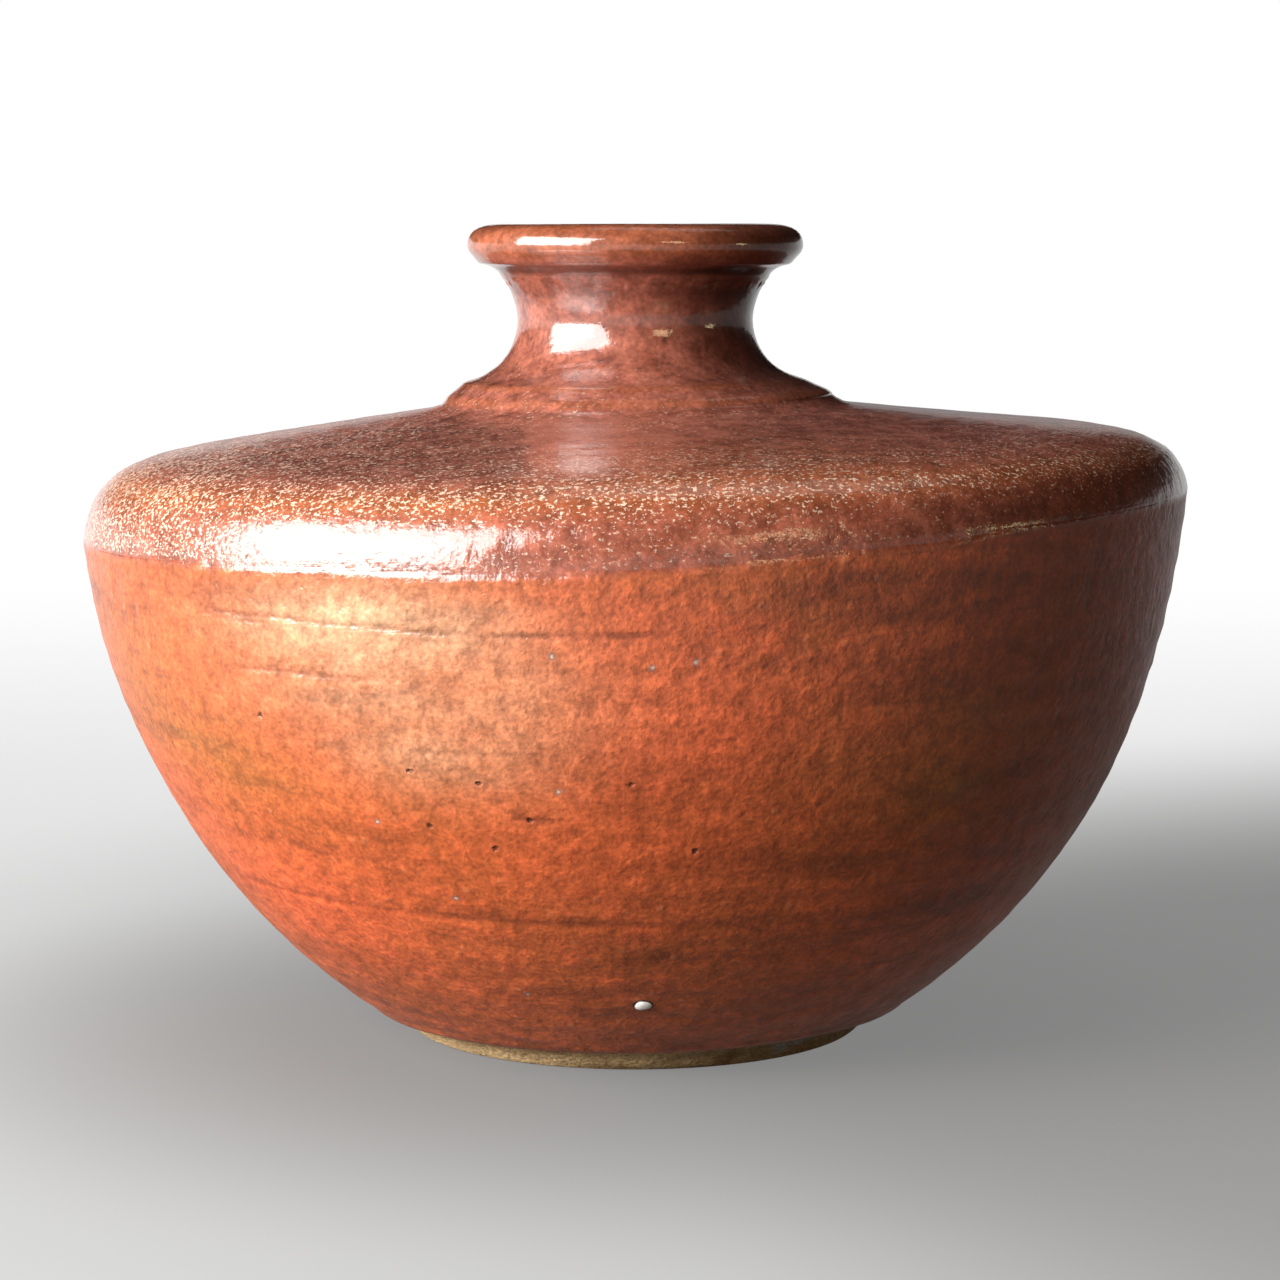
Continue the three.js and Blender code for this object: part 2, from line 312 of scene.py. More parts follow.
def crowded_arcs(profile, rows, bend_pull, marks=()):
    """Lengths along a profile for a number of rows, which crowd where it bends and at marks, given as (arc,
    half width, pull): rows divide evenly the running sum of one plus the pulls, flat-topped bells."""
    arcs = arc_along(profile)
    turn = np.unwrap(np.arctan2(*normals_of(profile).T))
    crowd = 1 + bend_pull * np.abs(np.gradient(turn, arcs))
    for arc, half_width, pull in marks:
        crowd = crowd + pull * np.exp(-(((arcs - arc) / half_width) ** 4))
    gone = np.append(0.0, np.cumsum((crowd[1:] + crowd[:-1]) / 2 * np.diff(arcs)))
    return np.interp(np.linspace(0.0, gone[-1], rows), gone, arcs)


def smoothstep(value, low, high):
    """Rises from 0 at low to 1 at high, level at both: 3 t squared less 2 t cubed of the share t between."""
    share = np.clip((value - low) / (high - low), 0.0, 1.0)
    return share * share * (3 - 2 * share)


def band(value, start, full, fading, gone):
    """Rises by smoothstep from start to full, and falls by it from fading to gone."""
    return smoothstep(value, start, full) * (1 - smoothstep(value, fading, gone))


def bell(value, middle, half_width):
    """A bell curve: e to the minus square of the distance from its middle in half widths."""
    return np.exp(-(((value - middle) / half_width) ** 2))


def bells(value, humps):
    """The sum of bell curves, given as (middle, half width, strength)."""
    return sum(strength * bell(value, middle, half_width) for middle, half_width, strength in humps)


def varied(share, values):
    """One less a share, plus that share of some values."""
    return 1 - share + share * values


def apart(turn, bearing):
    """The angle in degrees from a bearing, between -180 and 180."""
    return np.mod(turn - bearing + 180, 360) - 180


class Section:
    """The half section of the clay, run by run, worked out from the form."""

    CORNER_SHARE = 0.19  # share of the belly, from the foot, where the round corner of the floor ends

    def __init__(self, form):
        joint = form.slip_thickness / 2
        self.seat = SEAT_MIDDLE - joint
        self.neck_foot = SEAT_MIDDLE + joint
        self.waist = self.neck_foot + form.waist_rise
        self.joint_bottom = JOINT_HEIGHT - joint
        self.joint_top = JOINT_HEIGHT + joint
        self.seat_inside = COLLAR_RADIUS - form.seat_width
        self.lean = np.tan(form.lean)
        self.lean_start = form.lean_start
        self.bowl(form)
        self.shoulder(form)
        self.neck(form)

    def bowl(self, form):
        """The belly from the foot to the joint, its inner face, the floor and the hollow under the foot."""
        foot = form.foot_diameter / 2
        rim = (BODY_RADIUS, self.joint_bottom)
        self.belly = sweep((foot, 0.0), form.foot_slope, form.belly_reach, rim, UP, form.rim_reach)
        arcs = arc_along(self.belly)
        share = arcs / arcs[-1]
        wall = form.foot_wall + (BODY_RADIUS - JOINT_INSIDE - form.foot_wall) * share
        inner = (self.belly - normals_of(self.belly) * wall[:, None])[share > self.CORNER_SHARE]
        inner[-1] = (JOINT_INSIDE, self.joint_bottom)
        rising = np.arctan2(*(inner[1] - inner[0])[::-1])
        floor_middle = (0.0, form.recess_depth + form.floor_thickness)
        floor = sweep(floor_middle, 0.0, form.floor_reach, inner[0], rising, form.floor_corner)
        self.bowl_inside = joined(floor, inner)[::-1]
        ring = foot - form.ring_width
        hollow = (ring - form.recess_bevel, form.recess_depth)
        self.underside = np.array(((0.0, form.recess_depth), hollow, (ring, 0.0), (foot, 0.0)))

    def shoulder(self, form):
        """The rounded edge above the joint and the flat shoulder up to the seat, outside and inside."""
        edge_end = np.array((BODY_RADIUS - form.edge_width, JOINT_HEIGHT + form.edge_rise))
        seat_outer = np.array((COLLAR_RADIUS, self.seat))
        slope = np.arctan2(*(seat_outer - edge_end)[::-1])
        edge = sweep((BODY_RADIUS, self.joint_top), UP, form.edge_reach, edge_end, slope, form.edge_ease)
        self.shoulder_outside = joined(edge, seat_outer)
        arcs = arc_along(edge)
        body_wall = BODY_RADIUS - JOINT_INSIDE
        wall = body_wall + (form.shoulder_wall - body_wall) * arcs / arcs[-1]
        inner = edge - normals_of(edge) * wall[:, None]
        inner[0] = (JOINT_INSIDE, self.joint_top)
        under_seat = (self.seat_inside, self.seat - form.shoulder_wall)
        self.shoulder_inside = joined((self.seat_inside, self.seat), under_seat, inner[::-1])

    def neck(self, form):
        """The collar, ledge, waist, flare and lip outside, and the mouth and throat inside."""
        foot = self.neck_foot
        ledge = (form.ledge_diameter / 2, foot + form.ledge_rise)
        ledge_way = INWARDS - form.ledge_slope
        waist = (form.waist_diameter / 2, self.waist)
        underlip = (form.underlip_diameter / 2, foot + form.underlip_rise)
        turn = (form.underlip_slope, form.underlip_reach)
        lip = (form.lip_diameter / 2, foot + form.lip_rise)
        crest = (form.crest_diameter / 2, CREST_HEIGHT)
        collar_way = INWARDS - form.collar_slope
        self.neck_outside = joined(
            sweep((COLLAR_RADIUS, foot), collar_way, form.collar_reach, ledge, ledge_way, form.ledge_back),
            sweep(ledge, ledge_way, form.ledge_reach, waist, UP, form.waist_reach),
            sweep(waist, UP, form.waist_lift, underlip, *turn),
            sweep(underlip, *turn, lip, UP, form.lip_reach),
            sweep(lip, UP, form.lip_top_reach, crest, INWARDS, form.crest_reach),
        )
        throat = (form.waist_diameter / 2 - form.neck_wall, self.waist)
        self.mouth = sweep(crest, INWARDS, form.mouth_reach, throat, DOWN, form.mouth_drop)
        flare = (-form.throat_slope, form.throat_flare)
        self.throat = sweep(throat, DOWN, form.throat_drop, (self.seat_inside, foot), *flare)

    def lean_at(self, height):
        """How far a level ring at a height tips up per metre towards +X: most at the joint, and fading to
        none at the start of the lean below it and at the waist above it."""
        return self.lean * band(height, self.lean_start, JOINT_HEIGHT, JOINT_HEIGHT, self.waist)


# Surfaces: a profile carried round the axis


def angles_round(columns):
    """Angles of the columns in radians, 0 at the front and growing towards +X, as one row."""
    return (np.arange(columns) / columns * 2 * np.pi - np.pi)[None, :]


def scatter(angles, arcs, cells, spacing, seed):
    """Smooth random values from -1 to 1 on a sheet wound round the axis: random numbers at the corners of
    a lattice, with a number of cells round and one per spacing along, blended across each by smoothstep."""
    across = np.mod(angles / (2 * np.pi), 1.0) * cells
    along = arcs / spacing
    across, along = np.broadcast_arrays(across, along - np.min(along))
    column = np.floor(across).astype(int)
    row = np.floor(along).astype(int)
    lattice = np.random.default_rng(seed).uniform(-1.0, 1.0, (row.max() + 2, cells))
    blend_across = smoothstep(across - column, 0.0, 1.0)
    blend_along = smoothstep(along - row, 0.0, 1.0)
    left = column % cells
    right = (column + 1) % cells
    lower = lattice[row, left] * (1 - blend_across) + lattice[row, right] * blend_across
    upper = lattice[row + 1, left] * (1 - blend_across) + lattice[row + 1, right] * blend_across
    return lower * (1 - blend_along) + upper * blend_along


def waver(angles, cells, seed):
    """Smooth random values from -1 to 1 that change only round the axis."""
    return scatter(angles, np.zeros((1, 1)), cells, 1.0, seed)


def carried_round(section, radius, height, angles):
    """The surface of a profile turned round the axis: (radius sin angle, -radius cos angle, height), with
    each point lifted by the lean at its height times its distance towards +X."""
    across = radius * np.sin(angles)
    lifted = height + section.lean_at(height) * across
    return np.stack(np.broadcast_arrays(across, -radius * np.cos(angles), lifted), axis=-1)


def woven(name, grid, poles=False):
    """A mesh over a grid of points whose columns run round. With poles, the first and last rows shrink to
    one point each, closed by fans. Without, the last row joins the first. Each face runs to the next column
    and then to the next row, so it faces outwards where the profile runs anticlockwise."""
    rows, columns = grid.shape[:2]
    index = np.arange(rows * columns).reshape(rows, columns)
    points = grid.reshape(-1, 3)
    fans = []
    if poles:
        index = np.clip(index - columns + 1, 0, (rows - 2) * columns + 1)
        points = np.vstack((grid[0, :1], grid[1:-1].reshape(-1, 3), grid[-1, :1]))
    following = np.roll(index, -1, axis=1)
    if poles:
        corners = (index[1:-2], following[1:-2], following[2:-1], index[2:-1])
        fans = [
            *np.stack((index[0], following[1], index[1]), axis=-1).tolist(),
            *np.stack((index[-2], following[-2], index[-1]), axis=-1).tolist(),
        ]
    else:
        corners = (index, following, np.roll(following, -1, axis=0), np.roll(index, -1, axis=0))
    faces = np.stack(corners, axis=-1).reshape(-1, 4).tolist()
    mesh = bpy.data.meshes.new(name)
    mesh.from_pydata(points.tolist(), [], faces + fans)
    mesh.shade_smooth()
    mesh.validate()
    return mesh


def keep(mesh, name, values):
    """Keeps a value or a vector for each point of a mesh, for its material to read."""
    vectors = values.shape[-1] == 3
    layer = mesh.attributes.new(name, "FLOAT_VECTOR" if vectors else "FLOAT", "POINT")
    layer.data.foreach_set("vector" if vectors else "value", np.ascontiguousarray(values, np.float32).ravel())


def placed(name, mesh, material, node_name=None):
    """Puts a mesh in the scene as a piece of the vase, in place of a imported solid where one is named."""
    piece = bpy.data.objects.new(name, mesh)
    bpy.context.scene.collection.objects.link(piece)
    mesh.materials.append(material)
    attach(piece, "root")
    if node_name:
        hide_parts(node_name)


# Materials

# Sockets by number, where a node has several of one name: the share, first and second colour and result of
# a Mix node, and the limits of a Map Range node
SHARE, FIRST, SECOND, MIXED = 0, 6, 7, 2
LOW, HIGH, TO_LOW, TO_HIGH = 1, 2, 3, 4

SMOOTH = {"interpolation_type": "SMOOTHSTEP"}
COLOURS = {"data_type": "RGBA", "clamp_factor": True}
TIMES = {"operation": "MULTIPLY"}
TIMES_PLUS = {"operation": "MULTIPLY_ADD"}
PLUS = {"operation": "ADD"}


def node(tree, kind, settings, inputs):
    """Adds a node: settings are its own properties, and an input is a value or the socket that feeds it."""
    added = tree.nodes.new(kind)
    for key, value in settings.items():
        setattr(added, key, value)
    for key, value in inputs.items():
        if isinstance(value, bpy.types.NodeSocket):
            tree.links.new(value, added.inputs[key])
        else:
            added.inputs[key].default_value = value
    return added


def fired(name, inputs):
    """A material with one Principled shader, its node tree, that shader and Object coordinates."""
    material = bpy.data.materials.new(name)
    material.use_nodes = True
    tree = material.node_tree
    tree.nodes.clear()
    shader = node(tree, "ShaderNodeBsdfPrincipled", {}, inputs)
    node(tree, "ShaderNodeOutputMaterial", {}, {"Surface": shader.outputs["BSDF"]})
    place = node(tree, "ShaderNodeTexCoord", {}, {}).outputs["Object"]
    return material, tree, shader, place


def surfaced(tree, shader, base, layers, relief=None, normals=("Normal",)):
    """Finishes a surface: lays colours over a base one after another, each with its way of blending and its
    share, and raises the shader's normals by a relief in metres."""
    laid = base
    for way, share, over in layers:
        mixed = node(tree, "ShaderNodeMix", {**COLOURS, "blend_type": way}, {
            SHARE: share, FIRST: laid, SECOND: over,
        })
        laid = mixed.outputs[MIXED]
    tree.links.new(laid, shader.inputs["Base Color"])
    if relief is not None:
        bump = node(tree, "ShaderNodeBump", {}, {"Distance": 1.0, "Height": relief})
        for socket in normals:
            tree.links.new(bump.outputs["Normal"], shader.inputs[socket])


def paints(colours):
    """The fired colours by name, each with an alpha of 1."""
    return {key: (*getattr(colours, key), 1.0) for key in colours.__annotations__}


def nearest(tree, place, middles):
    """The distance to the nearest of some points, as a socket."""
    socket = None
    for middle in middles:
        distance = node(tree, "ShaderNodeVectorMath", {"operation": "DISTANCE"}, {0: place, 1: middle})
        closer = distance.outputs["Value"]
        if socket is not None:
            closer = node(tree, "ShaderNodeMath", {"operation": "MINIMUM"}, {0: socket, 1: closer}).outputs[0]
        socket = closer
    return socket


GLAZE_MASKS = ("shoulder", "speckle", "breaking", "pooling", "flashing", "ashing", "bloom", "gloss")

# Patterns of the iron glaze: clouds, mottles, orange peel and grain of the melt, smudges and lines drawn by
# the wheel, and flakes. What they follow, size in mm along its three axes, detail, roughness, distortion.
# The grain is drawn coarser than the real one, so that it shows
GLAZE_PATTERNS = {
    "cloud": ("place", (36, 36, 36), 3.0, 0.5, 0.0),
    "mottle": ("place", (6, 6, 6), 6.0, 0.66, 0.0),
    "peel": ("place", (3.4, 3.4, 3.4), 3.0, 0.5, 0.2),
    "grain": ("place", (1, 1, 1), 2.0, 0.5, 0.0),
    "smudge": ("wheel", (34, 34, 8), 4.0, 0.6, 0.0),
    "streak": ("wheel", (22, 22, 1.7), 4.0, 0.66, 0.0),
    "flake": ("place", (0.9, 0.9, 0.6), 2.0, 0.7, 0.0),
}
# Colours of the belly over the iron red: pattern, where it starts to show and is full, strength, colour
BELLY_LAYERS = (
    ("cloud", 0.38, 0.64, 1.0, "iron_brown"), ("mottle", 0.44, 0.66, 0.5, "flame"),
    ("smudge", 0.46, 0.7, 0.72, "iron_dark"), ("streak", 0.54, 0.74, 0.5, "iron_dark"),
)
# The masks of the patches and their colours; the pale patches are a painted sheen
PATCH_COLOURS = {"flashing": "flame", "ashing": "olive", "bloom": "bloomed"}
# Patches are ragged by the mottles: gain and lift
RAGGED = (1.8, 0.1)
# Blisters of the melt: spacing, distances from the middle where one starts and is full, and paleness
BLISTER_SPACING, BLISTER_EDGE, BLISTER_FULL, BLISTER_PALENESS = 5 * MM, 0.24, 0.06, 0.14
# Dark and light crusts of the shoulder, by the mottles
CRUST_DARK, CRUST_LIGHT = 0.36, 0.62
# How deep the peel and the grain shade the colour, either side of their middle: on the belly, and how
# much deeper on the shoulder
NOISE_MIDDLE, SHADE_BELLY, SHADE_SHOULDER = 0.5, 1.15, 0.15
# Flakes, partly real crystals and partly painted glints: how much a full flake mask adds to the pattern,
# where flakes start and are full, and the masks between which they appear
FLAKE_GAIN, FLAKE_START, FLAKE_FULL, FLAKE_NONE, FLAKE_ALL = 0.19, 0.66, 0.77, 0.05, 0.6
# Parts of a pit and of a speck of ash: distance in mm where it starts and is full, strength, colour
SPOT_PARTS = {
    "pit": (("pit_lip", 2.0, 1.0, 1.0, None), ("pit_hole", 0.85, 0.2, 0.75, "pooled")),
    "speck": (("halo", 1.1, 0.3, 0.5, "ash_grey"), ("core", 0.45, 0.1, 0.8, "crystal")),
}
# How far the grain pushes the outlines of spots out and in
SPOT_GAIN, SPOT_LIFT = 1.2 * MM, -0.6 * MM
# The dark rim round the fleck, in sizes of the fleck: where it starts and is full
RIM_START, RIM_FULL = 1.45, 1.15
# Relief in mm. Lumps flatten on the shoulder and rise with the gloss
GLAZE_RELIEF = {
    "streak": 0.05, "mottle": 0.48, "peel": 0.6, "blister": 0.1, "grain": 0.07, "flakes": 0.015,
    "pit_lip": 0.06, "pit_hole": -0.5,
}
LUMPS = ("mottle", "peel", "blister", "grain")
LUMPS_SHOULDER, LUMPS_GLOSS, LUMPS_MATT = -0.9, 0.8, 0.65
# Roughness of the body under the gloss: mottles and the roughness there
GLAZE_ROUGHNESS = {LOW: 0.3, HIGH: 0.7, TO_LOW: 0.52, TO_HIGH: 0.40}


def iron_glaze(colours, pit_places, ash_places, fleck_middle, fleck_size):
    """Iron glaze, poured on and fired: satin red-brown on the belly, lumpy like orange peel, drawn into
    darker smudges and lines by the wheel, and flashed orange by the flame, with a painted sheen on its upper
    left and painted shade on its right. It lies thick and glossy on the shoulder, purple-brown with pale
    flakes, and breaks orange-brown over an edge; the grey tint of that purple-brown is partly a painted
    reflection, and the flakes are partly painted glints. Pits and specks of ash dot it."""
    material, tree, shader, place = fired("iron_glaze", {
        "IOR": 1.5, "Specular IOR Level": 0.22, "Coat Roughness": 0.07, "Coat IOR": 1.75,
    })
    wheel = node(tree, "ShaderNodeAttribute", {"attribute_name": "wheel"}, {}).outputs["Vector"]
    mask = {
        name: node(tree, "ShaderNodeAttribute", {"attribute_name": name}, {}).outputs["Fac"]
        for name in GLAZE_MASKS
    }
    paint = paints(colours)
    height = {}
    for name, (follows, size, detail, roughness, distortion) in GLAZE_PATTERNS.items():
        scaled = node(tree, "ShaderNodeMapping", {}, {
            "Vector": wheel if follows == "wheel" else place, "Scale": [1 / (side * MM) for side in size],
        })
        noise = node(tree, "ShaderNodeTexNoise", {}, {
            "Vector": scaled.outputs["Vector"], "Scale": 1.0, "Detail": detail, "Roughness": roughness,
            "Distortion": distortion,
        })
        height[name] = noise.outputs["Fac"]
    bubble = node(tree, "ShaderNodeTexVoronoi", {}, {"Vector": place, "Scale": 1 / BLISTER_SPACING})
    height["blister"] = node(tree, "ShaderNodeMapRange", SMOOTH, {
        "Value": bubble.outputs["Distance"], LOW: BLISTER_EDGE, HIGH: BLISTER_FULL,
    }).outputs["Result"]

    # The belly: red to brown by clouds, redder in mottles, browner in smudges and lines, paler in blisters,
    # and its patches, of which the pale ones are painted sheen
    layers = []
    for name, start, full, strength, colour_name in BELLY_LAYERS:
        share = node(tree, "ShaderNodeMapRange", SMOOTH, {
            "Value": height[name], LOW: start, HIGH: full, TO_HIGH: strength,
        })
        layers.append(("MIX", share.outputs["Result"], paint[colour_name]))
    share = node(tree, "ShaderNodeMath", TIMES, {0: height["blister"], 1: BLISTER_PALENESS})
    layers.append(("MIX", share.outputs[0], paint["bloomed"]))
    ragged = node(tree, "ShaderNodeMath", TIMES_PLUS, {0: height["mottle"], 1: RAGGED[0], 2: RAGGED[1]})
    for patch, colour_name in PATCH_COLOURS.items():
        share = node(tree, "ShaderNodeMath", TIMES, {0: ragged.outputs[0], 1: mask[patch]})
        layers.append(("MIX", share.outputs[0], paint[colour_name]))

    # The shoulder over it, purple-brown (its grey tint partly a painted reflection) and crusted darker, then
    # breaking on edges, darker where glaze pools in hollows, and darkened on the right by painted shade
    crusted = node(tree, "ShaderNodeMapRange", SMOOTH, {
        "Value": height["mottle"], LOW: CRUST_DARK, HIGH: CRUST_LIGHT,
    })
    thick = node(tree, "ShaderNodeMix", COLOURS, {
        SHARE: crusted.outputs["Result"], FIRST: paint["plum_dark"], SECOND: paint["plum"],
    })
    layers += [
        ("MIX", mask["shoulder"], thick.outputs[MIXED]),
        ("MIX", mask["breaking"], paint["break_brown"]),
        ("MIX", mask["pooling"], paint["pooled"]),
    ]

    # All of it shaded by the peel and the grain, then flaked with pale crystals that are partly painted
    # glints
    depth = node(tree, "ShaderNodeMath", TIMES_PLUS, {0: mask["shoulder"], 1: SHADE_SHOULDER, 2: SHADE_BELLY})
    for name in ("peel", "grain"):
        shade = node(tree, "ShaderNodeMath", {"operation": "SUBTRACT"}, {0: height[name], 1: NOISE_MIDDLE})
        shade = node(tree, "ShaderNodeMath", TIMES_PLUS, {0: shade.outputs[0], 1: depth.outputs[0], 2: 1.0})
        layers.append(("MULTIPLY", 1.0, shade.outputs[0]))
    dense = node(tree, "ShaderNodeMath", TIMES_PLUS, {0: mask["speckle"], 1: FLAKE_GAIN, 2: height["flake"]})
    flaked = node(tree, "ShaderNodeMapRange", SMOOTH, {
        "Value": dense.outputs[0], LOW: FLAKE_START, HIGH: FLAKE_FULL,
    })
    gate = node(tree, "ShaderNodeMapRange", SMOOTH, {
        "Value": mask["speckle"], LOW: FLAKE_NONE, HIGH: FLAKE_ALL,
    })
    flaked = node(tree, "ShaderNodeMath", TIMES, {0: flaked.outputs["Result"], 1: gate.outputs["Result"]})
    height["flakes"] = flaked.outputs[0]
    layers.append(("MIX", height["flakes"], paint["crystal"]))

    # Pits that burst through, blue-grey specks of ash, and the dark rim round the feldspar fleck
    uneven = node(tree, "ShaderNodeMath", TIMES_PLUS, {0: height["grain"], 1: SPOT_GAIN, 2: SPOT_LIFT})
    for name, places in (("pit", pit_places), ("speck", ash_places)):
        away = node(tree, "ShaderNodeMath", PLUS, {0: nearest(tree, place, places), 1: uneven.outputs[0]})
        for part, start, full, strength, colour_name in SPOT_PARTS[name]:
            height[part] = node(tree, "ShaderNodeMapRange", SMOOTH, {
                "Value": away.outputs[0], LOW: start * MM, HIGH: full * MM, TO_HIGH: strength,
            }).outputs["Result"]
            if colour_name:
                layers.append(("MIX", height[part], paint[colour_name]))
    away = node(tree, "ShaderNodeMapping", {"vector_type": "TEXTURE"}, {
        "Vector": place, "Location": fleck_middle, "Scale": fleck_size,
    })
    away = node(tree, "ShaderNodeVectorMath", {"operation": "LENGTH"}, {0: away.outputs["Vector"]})
    rim = node(tree, "ShaderNodeMapRange", SMOOTH, {
        "Value": away.outputs["Value"], LOW: RIM_START, HIGH: RIM_FULL,
    })
    layers.append(("MIX", rim.outputs["Result"], paint["pooled"]))

    # Relief: lines, lumps of mottle, peel, blister and grain, raised flakes, sunk pits with a raised lip
    lumps = node(tree, "ShaderNodeMath", TIMES_PLUS, {0: mask["shoulder"], 1: LUMPS_SHOULDER, 2: 1.0})
    wetter = node(tree, "ShaderNodeMath", TIMES_PLUS, {0: mask["gloss"], 1: LUMPS_GLOSS, 2: LUMPS_MATT})
    lumps = node(tree, "ShaderNodeMath", TIMES, {0: lumps.outputs[0], 1: wetter.outputs[0]})
    relief = 0.0
    for name, rise in GLAZE_RELIEF.items():
        raised = height[name]
        if name in LUMPS:
            raised = node(tree, "ShaderNodeMath", TIMES, {0: raised, 1: lumps.outputs[0]}).outputs[0]
        relief = node(tree, "ShaderNodeMath", TIMES_PLUS, {0: raised, 1: rise * MM, 2: relief}).outputs[0]
    surfaced(tree, shader, paint["iron_red"], layers, relief, ("Normal", "Coat Normal"))
    rough = node(tree, "ShaderNodeMapRange", {}, {"Value": height["mottle"], **GLAZE_ROUGHNESS})
    tree.links.new(rough.outputs["Result"], shader.inputs["Roughness"])
    tree.links.new(mask["gloss"], shader.inputs["Coat Weight"])
    return material


# Sizes in the bare clay: toasted clouds, grain, spacing of the grit, relief of the grain
CLAY_CLOUD, CLAY_GRAIN, GRIT_SPACING, CLAY_RELIEF = 9 * MM, 0.8 * MM, 1.9 * MM, 0.22 * MM
# Where the clouds toast it, where the grit darkens it, and how the grain shades it
TOASTED = {LOW: 0.45, HIGH: 0.75}
GRITTY = {LOW: 0.20, HIGH: 0.10, TO_HIGH: 0.7}
GRAINY = {LOW: 0.3, HIGH: 0.7, TO_LOW: 0.55, TO_HIGH: 1.25}


def stoneware_clay(colours):
    """Stoneware clay, thrown and fired bare: buff, dry and gritty, toasted in clouds, with white shelf wash
    where it stuck."""
    material, tree, shader, place = fired("stoneware_clay", {
        "Roughness": 0.85, "IOR": 1.5, "Specular IOR Level": 0.3,
    })
    wash = node(tree, "ShaderNodeAttribute", {"attribute_name": "wash"}, {}).outputs["Fac"]
    paint = paints(colours)
    cloud = node(tree, "ShaderNodeTexNoise", {}, {"Vector": place, "Scale": 1 / CLAY_CLOUD, "Detail": 3.0})
    grain = node(tree, "ShaderNodeTexNoise", {}, {"Vector": place, "Scale": 1 / CLAY_GRAIN, "Detail": 2.0})
    grit = node(tree, "ShaderNodeTexVoronoi", {}, {"Vector": place, "Scale": 1 / GRIT_SPACING})
    toasted = node(tree, "ShaderNodeMapRange", SMOOTH, {"Value": cloud.outputs["Fac"], **TOASTED})
    dark = node(tree, "ShaderNodeMapRange", SMOOTH, {"Value": grit.outputs["Distance"], **GRITTY})
    shade = node(tree, "ShaderNodeMapRange", {}, {"Value": grain.outputs["Fac"], **GRAINY})
    layers = (
        ("MIX", toasted.outputs["Result"], paint["clay_dark"]),
        ("MIX", dark.outputs["Result"], paint["clay_grit"]),
        ("MIX", wash, paint["kiln_wash"]),
        ("MULTIPLY", 1.0, shade.outputs["Result"]),
    )
    relief = node(tree, "ShaderNodeMath", TIMES, {0: grain.outputs["Fac"], 1: CLAY_RELIEF})
    surfaced(tree, shader, paint["clay_buff"], layers, relief.outputs[0])
    return material


def plain_fired(name, base, darker, size, inputs):
    """A fired surface of one colour, with soft clouds of a darker share of it, of a given size."""
    material, tree, shader, place = fired(name, inputs)
    cloud = node(tree, "ShaderNodeTexNoise", {}, {"Vector": place, "Scale": 1 / size, "Detail": 3.0})
    clouded = (*[part * darker for part in base], 1.0)
    surfaced(tree, shader, (*base, 1.0), [("MIX", cloud.outputs["Fac"], clouded)])
    return material


# Pieces


class VaseOperator:
    """What the operators of the pieces share: the form, the marks, the colours and the section."""

    bl_options = {"REGISTER", "UNDO"}
    BEND_PULL = 3 * MM

    def prepare(self, scene):
        """Takes the settings from the scene and works out the section."""
        self.form = scene.vase_form
        self.marks = scene.vase_marks
        self.colours = scene.vase_colours
        self.section = Section(self.form)

    def turned(self, name, profile, rows, columns, softness, poles=False):
        """A clay, slip or glaze body: its profile with softened corners, carried round the axis."""
        soft = eased(profile, softness, closed=not poles)
        arcs = crowded_arcs(soft, rows + (not poles), self.BEND_PULL)[:, None]
        radius, height = at_arcs(soft, arcs if poles else arcs[:-1])
        return woven(name, carried_round(self.section, radius, height, angles_round(columns)), poles)


